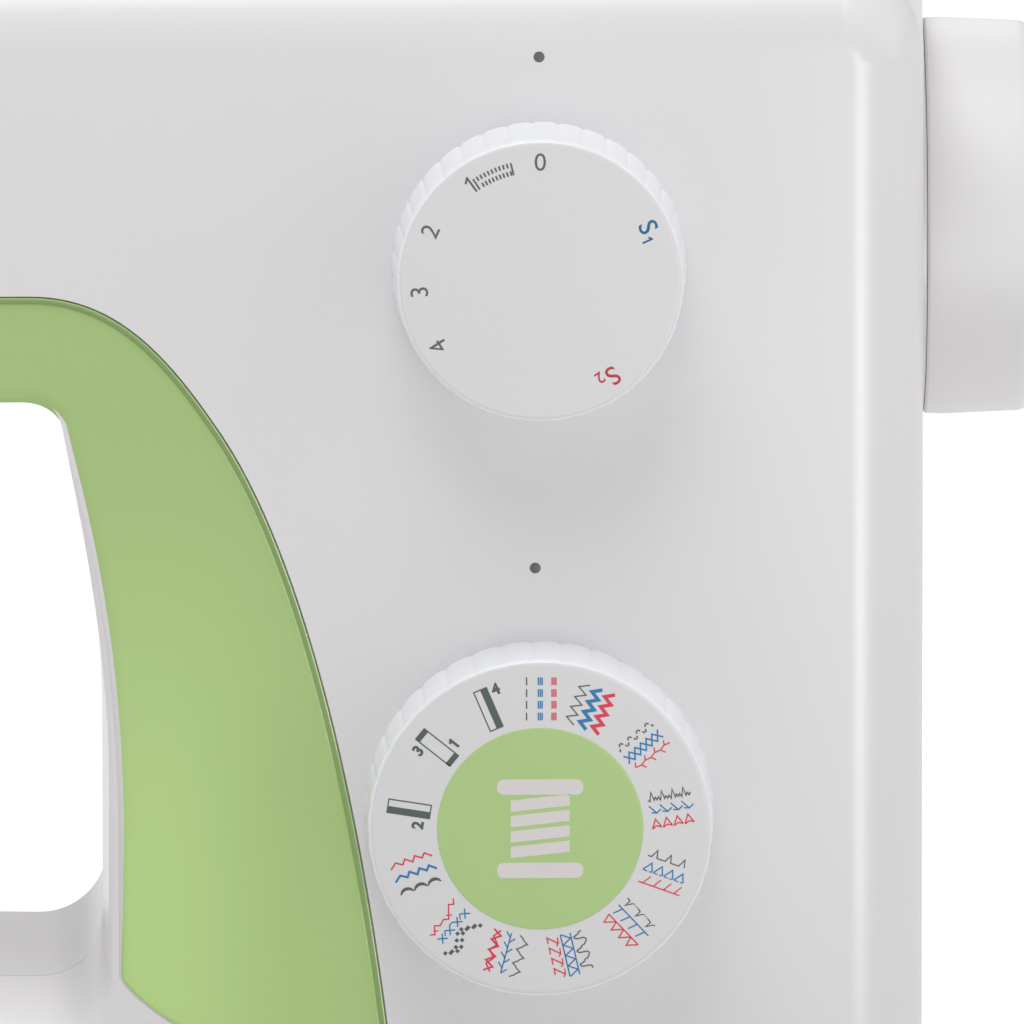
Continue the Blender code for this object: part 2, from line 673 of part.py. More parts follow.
def belt_outline(grow):
    """Open belt around both pulleys, in Y, Z."""
    dy = MOTOR_Y
    dz = MOTOR_Z - SHAFT_Z
    distance = math.hypot(dy, dz)
    heading = math.degrees(math.atan2(dz, dy))
    lean = math.degrees(math.acos((SHAFT_PULLEY_R - MOTOR_PULLEY_R) / distance))
    points = arc((0.0, SHAFT_Z), SHAFT_PULLEY_R + grow, heading + lean, heading + 360.0 - lean, 20)
    points += arc((MOTOR_Y, MOTOR_Z), MOTOR_PULLEY_R + grow, heading - lean, heading + lean, 6)
    return points


def build_motor():
    profile = [(0.0, 92.0), (10.0, 92.0), (10.0, 96.0), (MOTOR_R - 2.0, 96.0), (MOTOR_R, 98.0)]
    profile += [(MOTOR_R, 142.0), (MOTOR_R - 2.0, 144.0), (8.0, 144.0), (8.0, 147.0), (0.0, 147.0)]
    motor = add_object("motor", lathe(profile, "X", (MOTOR_Y, MOTOR_Z), 24), dark())
    for z in (MOTOR_Z - 9.0, MOTOR_Z, MOTOR_Z + 9.0):
        cut(motor, box(90.0, 98.0, MOTOR_Y + 12.0, MOTOR_Y + 20.0, z - 2.0, z + 2.0))
    bracket = ring("X", (MOTOR_Y, MOTOR_Z), MOTOR_R + GAP, MOTOR_R + 3.0, 114.0, 124.0, 24)
    bracket = add_object("motor_bracket", bracket, steel())
    join(bracket, box(114.0, 124.0, MOTOR_Y - 6.0, MOTOR_Y + 6.0, 23.5, MOTOR_Z - MOTOR_R - 1.0))
    profile = [(0.0, 147.4), (2.5, 147.4), (2.5, BELT_X0 - 2.0), (MOTOR_PULLEY_R + 2.0, BELT_X0 - 2.0)]
    profile += [(MOTOR_PULLEY_R, BELT_X0 - 0.5), (MOTOR_PULLEY_R, BELT_X1 + 0.5)]
    profile += [(MOTOR_PULLEY_R + 2.0, BELT_X1 + 2.0), (0.0, BELT_X1 + 2.0)]
    pulley = lathe(profile, "X", (MOTOR_Y, MOTOR_Z), 20)
    add_object("motor_pulley", pulley, steel(), (0.0, MOTOR_Y, MOTOR_Z))
    belt = add_object("drive_belt", prism(belt_outline(GAP + BELT_THICK), "X", BELT_X0, BELT_X1), rubber())
    cut(belt, prism(belt_outline(GAP), "X", BELT_X0 - 3.0, BELT_X1 + 3.0))


def build_cam_stack():
    """Stack of stitch cams under the worm, turning about a front-to-back axis."""
    centre = CAM_CENTRE
    profile = [(3.3, -14.0), (15.0, -14.0)]
    for k in range(4):
        start = -14.0 + 3.0 * k
        radius = 15.0 - 1.5 * (k % 2)
        profile += [(radius, start + 0.1), (radius, start + 2.9)]
    profile += [(19.0, -1.8), (19.0, 4.0), (3.3, 4.0)]
    stack = lathe(profile, "Y", centre, 20, closed=True)
    add_object("cam_stack", stack, dark(), (centre[0], 0.0, centre[1]))


# ---------------------------------------------------------------- needle and presser

def build_needle_side():
    gate = box(-148.0, -138.0, 4.4, 6.6, 166.0, 266.0)
    gate = add_object("needle_bar_frame", gate, cast(), (NEEDLE_X, 0.0, 262.0))
    for z in (166.0, 240.0):
        join(gate, box(-148.0, -138.0, -5.5, 5.0, z, z + 6.0))
        cut(gate, rod("Z", (NEEDLE_X, 0.0), 3.5, z - 2.0, z + 8.0))
    bar = [(0.0, 122.0), (2.8, 122.0), (3.2, 123.0), (3.2, 270.0), (2.6, 271.0), (0.0, 271.0)]
    add_object("needle_bar", lathe(bar, "Z", (NEEDLE_X, 0.0), 16), steel(), (NEEDLE_X, 0.0, 0.0))
    clamp = ring("Z", (NEEDLE_X, 0.0), 3.5, 6.0, 122.0, 132.0, 20)
    clamp = add_object("needle_clamp", clamp, steel(), (NEEDLE_X, 0.0, 0.0))
    cut(clamp, rod("X", (0.0, 127.0), 1.8, NEEDLE_X, NEEDLE_X + 12.0, 12))
    screw = [(0.0, NEEDLE_X + 4.0), (1.5, NEEDLE_X + 4.0), (1.5, NEEDLE_X + 7.0), (4.0, NEEDLE_X + 7.0)]
    screw += [(4.0, NEEDLE_X + 13.0), (0.0, NEEDLE_X + 13.0)]
    add_object("clamp_screw", lathe(screw, "X", (0.0, 127.0), 16), steel(), (NEEDLE_X, 0.0, 0.0))
    needle = [(0.0, 91.0), (0.3, 92.5), (0.45, 95.0), (0.45, 110.0), (1.0, 112.0), (1.0, 121.7)]
    needle.append((0.0, 121.7))
    add_object("needle", lathe(needle, "Z", (NEEDLE_X, 0.0), 10), steel(), (NEEDLE_X, 0.0, 0.0))


def build_presser():
    centre = (NEEDLE_X, PRESSER_Y)
    bar = [(0.0, 99.0), (3.0, 99.0), (3.5, 100.0), (3.5, 262.0), (0.0, 262.0)]
    bar = add_object("presser_bar", lathe(bar, "Z", centre, 16), steel(), (centre[0], centre[1], 0.0))
    join(bar, rod("Z", centre, 6.5, 175.0, 181.0))
    join(bar, box(NEEDLE_X + 5.0, LIFTER_CENTRE[0], PRESSER_Y - 3.0, PRESSER_Y + 10.0, 175.0, 181.0))
    add_object("presser_spring", ring("Z", centre, 4.2, 6.2, 181.4, 235.6, 16), steel())
    foot = box(NEEDLE_X - 7.0, NEEDLE_X + 7.0, -12.0, 16.0, 79.6, 81.2)
    foot = add_object("presser_foot", foot, steel(), (centre[0], centre[1], 0.0))
    toe = [(-12.5, 79.6), (-10.5, 79.6), (-10.5, 81.2), (-16.0, 84.0), (-17.0, 83.0)]
    join(foot, prism(toe, "X", NEEDLE_X - 7.0, NEEDLE_X + 7.0))
    join(foot, box(NEEDLE_X - 4.0, NEEDLE_X + 4.0, 8.0, 20.0, 81.0, 98.0))
    slot = rounded_rectangle(NEEDLE_X - 3.6, NEEDLE_X + 3.6, -2.3, 2.3, 1.8, 3)
    cut(foot, prism(slot, "Z", 70.0, 90.0))
    join(foot, box(NEEDLE_X - 5.0, NEEDLE_X + 5.0, 7.5, 20.5, 92.0, 98.7))
    join(foot, box(NEEDLE_X + 3.7, NEEDLE_X + 7.0, 9.0, 18.0, 92.0, 116.0))
    x, z = LIFTER_CENTRE
    lever = rod("Y", LIFTER_CENTRE, 3.2, 20.0, 66.0, 16)
    lever = add_object("presser_lifter", lever, steel(), (x, 40.0, z))
    cam = arc(LIFTER_CENTRE, 4.5, 100.0, 280.0, 5) + arc((x + 8.4, z + 1.5), 2.6, -80.0, 100.0, 5)
    join(lever, prism(cam, "Y", 20.0, 24.0))
    grip = arc(LIFTER_CENTRE, 6.0, 0.0, 180.0, 6) + arc((x, z - 32.0), 5.0, 180.0, 360.0, 6)
    join(lever, prism(grip, "Y", 64.0, 73.0))


def build_take_up():
    """Thread take-up lever that works in the slot at the front of the head."""
    pivot = (TAKE_UP_Y, TAKE_UP_Z)
    outline = [(-16.0, 222.0), (-20.0, 217.0), (-26.0, 219.0), (-58.0, 237.5), (-65.0, 241.0)]
    outline += [(-69.5, 246.0), (-67.0, 250.5), (-62.0, 249.0), (-58.0, 245.5), (-24.0, 227.0)]
    outline.append((-18.0, 227.0))
    lever = prism(outline, "X", -154.0, -152.0)
    lever = add_object("take_up_lever", lever, steel(), (-153.0, pivot[0], pivot[1]))
    cut(lever, rod("X", (-65.5, 245.8), 1.6, -156.0, -150.0, 12))
    cut(lever, rod("X", pivot, 2.6, -156.0, -150.0, 12))


# ---------------------------------------------------------------- hook and lower drive

def build_hook():
    centre = (NEEDLE_X, HOOK_Z)
    pivot = (NEEDLE_X, 0.0, HOOK_Z)
    race = ring("Y", centre, 16.6, 18.6, -16.0, -2.6, 28)
    race = add_object("hook_race", race, cast())
    join(race, box(NEEDLE_X + 17.5, -110.0, -12.0, -6.0, HOOK_Z - 4.0, HOOK_Z + 4.0))
    cup = [(0.0, -2.8), (15.2, -2.8), (16.2, -4.0), (16.2, -15.0), (12.4, -15.0), (12.4, -5.0)]
    cup.append((0.0, -5.0))
    hook = add_object("shuttle_hook", lathe(cup, "Y", centre, 24), steel(), pivot)
    cut(hook, prism([(-135.0, 60.0), (-129.0, 77.0), (-124.0, 74.0), (-130.0, 58.0)], "Y", -20.0, -5.5))
    case = [(0.0, -22.0), (10.4, -22.0), (11.0, -21.0), (11.0, -9.0), (10.0, -9.0), (10.0, -20.6)]
    case.append((0.0, -20.6))
    add_object("bobbin_case", lathe(case, "Y", centre, 20), steel(), pivot)
    bobbin = [(3.0, -19.6), (9.4, -19.6), (9.4, -18.6), (4.2, -18.6), (4.2, -9.6), (9.4, -9.6)]
    bobbin += [(9.4, -8.6), (3.0, -8.6)]
    add_object("bobbin", lathe(bobbin, "Y", centre, 16, closed=True), lamp_glass(), pivot)
    driver = add_object("hook_driver", rod("Y", centre, 3.0, -2.4, 10.0), steel(), pivot)
    join(driver, rod("Y", centre, 8.0, 5.0, 9.9))
    profile = [(0.0, -131.0), (7.0, -131.0), (7.0, -124.0), (SHAFT_R, -124.0), (SHAFT_R, 40.0)]
    profile.append((0.0, 40.0))
    add_object("lower_shaft", lathe(profile, "X", (LOWER_SHAFT_Y, LOWER_SHAFT_Z), 20), steel())


# ---------------------------------------------------------------- controls

def dial(name, x, z, base_r, face_r, front, pivot):
    """Control dial: a drafted skirt with a soft rim and a flat face."""
    rear = FRONT - GAP
    profile = [(0.0, rear), (base_r, rear), (base_r, rear - 1.2), (face_r + 0.5, front + 1.4)]
    profile += [(face_r - 0.2, front + 0.4), (face_r - 1.2, front), (0.0, front)]
    return add_object(name, lathe(profile, "Y", (x, z), 40), white(), pivot)


def build_dials():
    pivot = (DIAL_X, 0.0, LENGTH_DIAL_Z)
    centre = (DIAL_X, LENGTH_DIAL_Z)
    dial("stitch_length_dial", *centre, LENGTH_DIAL_R, LENGTH_FACE_R, LENGTH_DIAL_FRONT, pivot)
    profile = [(0.0, -57.9), (4.0, -57.9), (4.0, -30.0), (14.0, -30.0), (14.0, -24.0), (4.0, -24.0)]
    profile += [(4.0, -14.0), (0.0, -14.0)]
    add_object("stitch_length_shaft", lathe(profile, "Y", centre, 16), dark(), pivot)
    pivot = (DIAL_X, 0.0, PATTERN_DIAL_Z)
    centre = (DIAL_X, PATTERN_DIAL_Z)
    front = DIAL_FRONT + 0.4
    knob = dial("pattern_dial", *centre, PATTERN_DIAL_R, PATTERN_FACE_R, front, pivot)
    back = DIAL_FRONT + CAP_DEPTH
    cut(knob, rod("Y", centre, CAP_R + GAP, DIAL_FRONT - 2.0, back + GAP, 32))
    cap = [(0.0, DIAL_FRONT), (CAP_R - 0.5, DIAL_FRONT), (CAP_R, front), (CAP_R, back), (0.0, back)]
    add_object("pattern_dial_cap", lathe(cap, "Y", centre, 32), green(), pivot)
    profile = [(0.0, -57.9), (4.0, -57.9), (4.0, -36.0), (18.0, -36.0), (18.0, -28.0), (4.0, -28.0)]
    profile += [(4.0, 10.0), (0.0, 10.0)]
    add_object("pattern_shaft", lathe(profile, "Y", centre, 16), dark(), pivot)


def build_tension():
    pivot = (TENSION_X, 0.0, TENSION_Z)
    profile = [(0.0, FRONT - GAP), (TENSION_R, FRONT - GAP), (TENSION_R, -66.0), (TENSION_R - 1.5, -67.5)]
    profile += [(0.0, -67.5)]
    add_object("tension_dial", lathe(profile, "Y", (TENSION_X, TENSION_Z), 28), white(), pivot)
    profile = [(0.0, -57.9), (3.4, -57.9), (3.4, -50.0), (11.0, -50.0), (12.0, -48.6), (11.0, -47.2)]
    profile += [(3.4, -47.2), (3.4, -40.0), (0.0, -40.0)]
    add_object("tension_discs", lathe(profile, "Y", (TENSION_X, TENSION_Z), 16), steel(), pivot)


def build_reverse_lever():
    pivot = (DIAL_X, -30.0, REVERSE_Z)
    outline = rounded_rectangle(-70.0, -52.0, REVERSE_Z - 3.5, REVERSE_Z + 3.5, 2.5, 3)
    lever = prism(outline, "X", DIAL_X - 10.0, DIAL_X + 10.0)
    lever = add_object("reverse_lever", lever, white(), pivot)
    join(lever, box(DIAL_X - 2.0, DIAL_X + 2.0, -53.0, -25.0, REVERSE_Z - 2.5, REVERSE_Z + 2.5))
    join(lever, rod("X", (-30.0, REVERSE_Z), 2.0, DIAL_X - 8.0, DIAL_X + 8.0, 12))


# ---------------------------------------------------------------- top of the arm

def build_handle():
    """Folding carrying handle, lying flat on the arm."""
    outer = [(-58.0, HANDLE_Y), (40.0, HANDLE_Y)]
    outer += arc((31.0, HANDLE_Y + 24.0), 9.0, 0.0, 90.0, 4)
    outer += arc((-49.0, HANDLE_Y + 24.0), 9.0, 90.0, 180.0, 4)
    handle = prism(outer, "Z", TOP + 1.0, TOP + 11.0)
    handle = add_object("carry_handle", handle, white(), (0.0, HANDLE_Y, TOP + 6.0))
    join(handle, rod("X", (HANDLE_Y, TOP + 6.0), 5.0, -58.0, 40.0))
    gap = rounded_rectangle(-48.0, 30.0, HANDLE_Y - 13.0, HANDLE_Y + 21.0, 5.0, 4)
    cut(handle, prism(gap, "Z", TOP - 1.0, TOP + 14.0))
    for x0 in (-48.0, 30.0):
        cut(handle, rod("X", (HANDLE_Y, TOP + 6.0), 2.4, x0 - 6.0, x0 + 6.0, 14))


def join_handle_hinges(cover):
    """Two blocks moulded on the rear cover, each with a pin that the handle turns on."""
    y0 = HANDLE_Y - 5.0
    y1 = HANDLE_Y + 5.0
    for x0 in (-47.6, 21.6):
        outline = [(y0, TOP - 2.0), (y1, TOP - 2.0), (y1, TOP + 8.0), (y1 - 2.0, TOP + 10.5)]
        outline += [(y0 + 2.0, TOP + 10.5), (y0, TOP + 8.0)]
        join(cover, prism(outline, "X", x0, x0 + 8.0))
        start = x0 - 5.0 if x0 < 0.0 else x0 + 4.0
        join(cover, rod("X", (HANDLE_Y, TOP + 6.0), 2.1, start, start + 9.0, 14))


def build_winder():
    centre = WINDER_CENTRE
    pivot = (*centre, TOP)
    carriage = box(centre[0] - 3.7, centre[0] + 3.7, centre[1] - 3.4, centre[1] + 3.4, TOP - 4.5, TOP + 2.5)
    carriage = add_object("winder_carriage", carriage, white(), pivot)
    cut(carriage, rod("Z", centre, 2.4, TOP + 0.2, TOP + 8.0, 14))
    profile = [(0.0, TOP + 0.6), (2.1, TOP + 0.6), (2.1, TOP + 2.9), (6.0, TOP + 2.9), (6.0, TOP + 4.5)]
    profile += [(3.0, TOP + 4.5), (3.0, TOP + 15.0), (2.2, TOP + 17.0), (0.0, TOP + 17.0)]
    add_object("winder_spindle", lathe(profile, "Z", centre, 16), steel(), pivot)


def build_spool_pin():
    profile = [(0.0, TOP - 50.0), (4.5, TOP - 50.0), (4.5, TOP - 47.0), (3.0, TOP - 47.0), (3.0, TOP + 12.0)]
    profile += [(2.0, TOP + 13.5), (0.0, TOP + 13.5)]
    add_object("spool_pin", lathe(profile, "Z", SPOOL_CENTRE, 16), white(), (*SPOOL_CENTRE, TOP))
    centre = (-110.0, TOP + 5.0)
    hook = arc(centre, 4.6, -60.0, 240.0, 10) + arc(centre, 2.8, 240.0, -60.0, 10)
    guide = add_object("thread_guide", prism(hook, "Y", 8.0, 11.0), steel())
    join(guide, box(-113.0, -107.0, 6.0, 13.0, TOP + GAP, TOP + 1.6))


# ---------------------------------------------------------------- electrics

def build_electrics():
    pivot = (BODY_RIGHT - 2.0, 16.0, SWITCH_Z)
    inside = BODY_RIGHT - 3.6
    outline = [(inside, SWITCH_Z - 10.0), (BODY_RIGHT - 0.6, SWITCH_Z - 10.0)]
    outline += [(BODY_RIGHT + 0.2, SWITCH_Z), (BODY_RIGHT + 1.8, SWITCH_Z + 10.0), (inside, SWITCH_Z + 10.0)]
    add_object("power_switch", prism(outline, "Y", 9.2, 22.8), dark(), pivot)
    socket = box(150.0, BODY_RIGHT - 0.4, SOCKET_Y - 8.6, SOCKET_Y + 8.6, 38.4, 63.6)
    socket = add_object("power_socket", socket, dark())
    cut(socket, box(156.0, 180.0, SOCKET_Y - 6.0, SOCKET_Y + 6.0, 41.0, 61.0))
    for z in (46.0, 51.0, 56.0):
        join(socket, rod("X", (SOCKET_Y, z), 1.2, 155.0, 165.0, 8))
    bulb = [(0.0, 160.0), (4.0, 161.5), (6.0, 165.0), (6.0, 172.0), (4.0, 176.0), (4.0, 182.0)]
    bulb.append((0.0, 182.0))
    add_object("lamp_bulb", lathe(bulb, "Z", LAMP_CENTRE, 16), lamp_glass())


def main():
    clear_scene()
    covers = [build_front_cover(), build_rear_cover()]
    cut_shaft_hole(covers)
    build_face_cover()
    build_insert()
    build_base()
    build_free_arm()
    build_needle_plate()
    build_feed()
    build_table()
    build_casting()
    build_main_shaft()
    build_crank()
    build_handwheel()
    build_motor()
    build_cam_stack()
    build_needle_side()
    build_presser()
    build_take_up()
    build_hook()
    build_dials()
    build_tension()
    build_reverse_lever()
    build_handle()
    build_winder()
    build_spool_pin()
    build_electrics()


main()
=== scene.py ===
import json
import math

import bmesh
import bpy
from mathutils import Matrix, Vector


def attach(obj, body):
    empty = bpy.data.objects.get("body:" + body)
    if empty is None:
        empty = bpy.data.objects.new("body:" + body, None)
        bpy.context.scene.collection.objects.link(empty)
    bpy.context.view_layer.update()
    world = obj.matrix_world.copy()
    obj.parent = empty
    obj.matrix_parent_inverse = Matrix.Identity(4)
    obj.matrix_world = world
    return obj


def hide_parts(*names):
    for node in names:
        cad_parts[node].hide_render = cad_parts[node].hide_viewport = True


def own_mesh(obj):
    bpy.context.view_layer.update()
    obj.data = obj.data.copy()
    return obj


MM = 0.001

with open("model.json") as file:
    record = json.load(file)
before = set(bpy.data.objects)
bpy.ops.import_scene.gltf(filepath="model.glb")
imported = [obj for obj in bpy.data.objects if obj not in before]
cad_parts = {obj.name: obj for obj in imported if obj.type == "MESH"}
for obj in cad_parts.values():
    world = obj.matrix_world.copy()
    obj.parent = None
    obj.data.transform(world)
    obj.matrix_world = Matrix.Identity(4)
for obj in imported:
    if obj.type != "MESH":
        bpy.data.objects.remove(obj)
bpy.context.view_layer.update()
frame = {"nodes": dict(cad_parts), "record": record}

# All sizes are in millimetres, in the CAD's own frame; raw_object turns them into metres.
# Body: the two covers, their rounded edges and the seam between them
BODY_RIGHT = 169.0
HEAD_COVER_LEFT = -172.3
FACE_LEFT = -190.5
FRONT = -58.0
REAR = 62.0
TOP = 285.0
COVER_BOTTOM = 20.4
BED_TOP = 78.0
BED_LEFT = -10.0
ARM_UNDER = 202.3
HEAD_UNDER = 155.0
HEAD_RIGHT = -105.0
TOP_CORNER = 17.0
EDGE_ROUND = 14.0
THROAT_ROUND = 2.0
UNDER_ROUND = 5.0
DRAFT = 1.0
WALL = 2.4
SEAM = 0.15
GAP = 0.3
ARM_CORNER = [(-3.5, 202.3), (0.5, 202.3), (2.6, 200.5), (3.3, 196.5)]
PILLAR_SWEEP = [(3.3, 196.5), (5.2, 185.5), (11.7, 158.0), (11.8, 130.0)]
BED_FILLET = 12.0

# Coloured insert round the throat, as Bezier control points
INSERT_TOP = 223.0
INSERT_CORNER = [(-3.5, 202.4), (0.0, 202.4), (2.8, 200.8), (4.2, 198.0)]
INSERT_ARM_SWEEP = [(-2.0, 223.0), (14.0, 223.0), (24.0, 212.0), (34.5, 195.8)]
INSERT_PILLAR_SWEEP = [(34.5, 195.8), (51.0, 170.0), (61.0, 120.0), (66.0, 78.0)]
INSERT_INNER_SWEEP = [(4.2, 198.0), (6.8, 186.0), (14.9, 160.0), (14.9, 118.0)]
INSERT_TOE = [(14.9, 91.0), (18.0, 85.0), (34.0, 74.0), (52.0, 72.0)]
INSERT_TOE_RIGHT = 66.6
INSERT_LEFT = -92.0
INSERT_LEFT_ROUND = 12.0
INSERT_FACE = -57.22
INSERT_CLEARANCE = 0.28

# Dials: rim radius at the skirt's foot and at the face, and the places of their marks
DIAL_X = 94.7
LENGTH_DIAL_Z = 228.8
LENGTH_DIAL_R = 28.0
LENGTH_FACE_R = 27.3
LENGTH_DIAL_FRONT = -72.0
DIGIT_R = 22.8
STRETCH_MARK_R = 22.6
TICK_R = 22.3
PATTERN_DIAL_Z = 122.8
PATTERN_DIAL_R = 33.3
PATTERN_FACE_R = 32.8
PATTERN_DIAL_FRONT = -72.6
PATTERN_MARK_R = 25.2
CAP_R = 19.6
CAP_HEIGHT = 0.12
TENSION = (-128.0, 232.0)
TENSION_DIAL_R = 15.0
TENSION_FACE_R = 14.6
TENSION_FRONT = -67.4
TENSION_DIGIT_R = 10.6
DIAL_RIM = 1.2
FLUTE_DEPTH = 0.38
FLUTES = 36
TENSION_FLUTES = 30
DIAL_SPINDLE_R = 4.6
SETTING_DOTS = ((94.7, 269.3), (94.0, 170.3))

# Right end, top and inside
SHAFT_Z = 226.7
WHEEL_R = 38.0
WHEEL_LEFT = 169.6
WHEEL_RIGHT = 190.5
WHEEL_ROUND = 3.6
LIFTER_CENTRE = (-126.0, 168.0)
HANDLE_Y = 9.0
HANDLE_LEFT = -58.0
HANDLE_RIGHT = 40.0
HANDLE_ARM = 10.0
SWITCH_Z = 44.0
SOCKET_Y = 41.5
SPOOL_CENTRE = (84.0, 43.0)
WINDER_CENTRE = (116.7, 10.0)
REVERSE_Z = 48.0
LAMP_CENTRE = (-162.0, 8.0)
PRESSER_CENTRE = (-143.0, 14.0)
SPRING_LOW = 181.4
SPRING_HIGH = 235.6

# Free arm and slide-off table
ARM_LEFT = -178.0
ARM_FRONT = -28.0
ARM_REAR = 50.0
ARM_BOTTOM = 34.0
TABLE_TOP = 77.7
TABLE_FLOOR = 23.0

# Floor in mm, camera in metres
FLOOR_HALF = 60000.0
CAMERA_PLACE = (-0.007727, -5.926079, 1.428664)
CAMERA_TARGET = (0.089578, -0.058, 0.181194)
CAMERA_LENS = 1110.2


# ---- materials

def add_node(tree, kind, **inputs):
    """New shader node; each keyword is an input's name with _ for its spaces."""
    made = tree.nodes.new("ShaderNode" + kind)
    for name, value in inputs.items():
        made.inputs[name.replace("_", " ")].default_value = value
    return made


def node_noise(tree, scale, detail, stretch=(1.0, 1.0, 1.0)):
    """Noise in the object's own metres, so the grain keeps its real size."""
    link = tree.links.new
    place = add_node(tree, "TexCoord")
    mapping = add_node(tree, "Mapping", Scale=stretch)
    noise = add_node(tree, "TexNoise", Scale=scale, Detail=detail)
    link(place.outputs["Object"], mapping.inputs["Vector"])
    link(mapping.outputs["Vector"], noise.inputs["Vector"])
    return noise.outputs["Fac"]


def eased(tree, source, start, end, low=0.0, high=1.0):
    """Smooth step of source: low at start, high at end."""
    stage = add_node(tree, "MapRange", From_Min=start, From_Max=end, To_Min=low, To_Max=high)
    stage.interpolation_type = "SMOOTHSTEP"
    tree.links.new(source, stage.inputs["Value"])
    return stage.outputs["Result"]


def surface(
    name, color, rough, grain, depth, tone, metallic=0.0,
    clear=0.0, stretch=(1.0, 1.0, 1.0), smears=120.0, spread=0.12,
):
    """Principled material: mottled tone, uneven gloss and a fine moulded or machined grain.

    grain is the size of the grain in mm and depth its height in mm; tone and spread are the
    shares by which colour and roughness vary; smears is the scale of the uneven gloss.
    """
    made = bpy.data.materials.new(name)
    made.use_nodes = True
    tree = made.node_tree
    link = tree.links.new
    shader = tree.nodes["Principled BSDF"]
    shader.inputs["Metallic"].default_value = metallic
    shader.inputs["IOR"].default_value = 1.47
    shader.inputs["Transmission Weight"].default_value = clear
    mix = add_node(tree, "Mix")
    mix.data_type = "RGBA"
    mix.inputs[6].default_value = (*[c * (1.0 - tone) for c in color], 1.0)
    mix.inputs[7].default_value = (*[min(c * (1.0 + tone), 1.0) for c in color], 1.0)
    mottle = node_noise(tree, 45.0, 3.0)
    link(eased(tree, mottle, 0.1, 0.9), mix.inputs[0])
    link(mix.outputs[2], shader.inputs["Base Color"])
    polish = node_noise(tree, smears, 4.0, stretch)
    polish = eased(tree, polish, 0.1, 0.9, rough * (1.0 - spread), rough * (1.0 + spread))
    link(polish, shader.inputs["Roughness"])
    height = node_noise(tree, 1000.0 / grain, 2.0, stretch)
    bump = add_node(tree, "Bump", Strength=1.0, Distance=depth * MM)
    link(height, bump.inputs["Height"])
    link(bump.outputs["Normal"], shader.inputs["Normal"])
    return made


def fade_green(look):
    """Painted sheen: a tint that is a little paler towards the foot and the inner edge of the insert."""
    tree = look.node_tree
    link = tree.links.new
    shader = tree.nodes["Principled BSDF"]
    tone = shader.inputs["Base Color"].links[0].from_socket
    place = add_node(tree, "TexCoord")
    split = add_node(tree, "SeparateXYZ")
    link(place.outputs["Object"], split.inputs[0])
    painted_sheen_mask = add_node(tree, "Math")
    painted_sheen_mask.operation = "MULTIPLY"
    link(eased(tree, split.outputs["X"], 0.052, 0.022, 0.35, 1.0), painted_sheen_mask.inputs[0])
    link(eased(tree, split.outputs["Z"], 0.205, 0.100), painted_sheen_mask.inputs[1])
    # Painted sheen: the base colour is scaled from 0.97 to 1.27 where the mask is high.
    lift = add_node(tree, "MapRange", To_Min=0.97, To_Max=1.27)
    link(painted_sheen_mask.outputs[0], lift.inputs["Value"])
    scaled = add_node(tree, "VectorMath")
    scaled.operation = "SCALE"
    link(tone, scaled.inputs[0])
    link(lift.outputs["Result"], scaled.inputs["Scale"])
    link(scaled.outputs["Vector"], shader.inputs["Base Color"])


# surface(name, colour, roughness, grain, depth of grain, tone, metallic)
WHITE = surface("white_gloss_plastic", (0.79, 0.773, 0.78), 0.30, 2.4, 0.002, 0.004, spread=0.04)
WHEEL_WHITE = surface("white_wheel_plastic", (0.785, 0.768, 0.775), 0.5, 1.2, 0.001, 0.003, spread=0.06)
SOFT_WHITE = surface("white_satin_plastic", (0.76, 0.748, 0.755), 0.4, 0.6, 0.002, 0.004, spread=0.08)
# Brighter, bluer copy of the dial white for the skirts: painted light.
SKIRT_LIT_WHITE = surface("white_skirt_painted_light_plastic", (0.87, 0.88, 0.915), 0.34, 0.6, 0.002, 0.004, spread=0.05)
GREEN = surface("green_gloss_plastic", (0.42, 0.60, 0.222), 0.24, 2.4, 0.0015, 0.006, spread=0.06)
# The insert's green gets a painted sheen.
fade_green(GREEN)
# Darker copy of the insert's green: painted shade on the inner slope of its lip.
GREEN_LIP_SHADE = surface("green_lip_painted_shade_plastic", (0.305, 0.43, 0.18), 0.34, 2.4, 0.0015, 0.006)
GREEN_CAP = surface("green_satin_plastic", (0.455, 0.645, 0.25), 0.38, 0.7, 0.003, 0.01)
EMBLEM = surface("pale_print", (0.745, 0.715, 0.70), 0.5, 0.5, 0.002, 0.01)
INK = (0.5, 0.3, 0.002, 0.05)
INK_GREY = surface("grey_ink", (0.075, 0.105, 0.103), *INK)
INK_DARK = surface("dark_grey_ink", (0.12, 0.118, 0.12), *INK)
INK_BLUE = surface("blue_ink", (0.002, 0.19, 0.46), *INK)
INK_NAVY = surface("deep_blue_ink", (0.001, 0.115, 0.29), *INK)
INK_CRIMSON = surface("deep_red_ink", (0.50, 0.02, 0.035), *INK)
INK_RED = surface("red_ink", (0.74, 0.025, 0.075), *INK)
STEEL = surface(
    "brushed_steel", (0.60, 0.60, 0.61), 0.24, 0.22, 0.003, 0.03, 1.0,
    stretch=(1.0, 1.0, 0.06), smears=900.0,
)
POLISHED = surface("polished_steel", (0.66, 0.66, 0.67), 0.14, 0.6, 0.0015, 0.02, 1.0, smears=500.0)
CAST = surface("cast_aluminium", (0.46, 0.47, 0.48), 0.52, 0.5, 0.03, 0.06, 0.9)
DARK = surface("black_moulded_plastic", (0.035, 0.035, 0.038), 0.42, 0.35, 0.012, 0.08)
RUBBER = surface("grey_rubber", (0.045, 0.045, 0.045), 0.8, 0.5, 0.03, 0.1)
BRONZE = surface("sintered_bronze", (0.56, 0.40, 0.20), 0.42, 0.25, 0.01, 0.08, 1.0)
CLEAR = surface("clear_plastic", (0.93, 0.93, 0.90), 0.09, 1.0, 0.002, 0.01, clear=0.85)
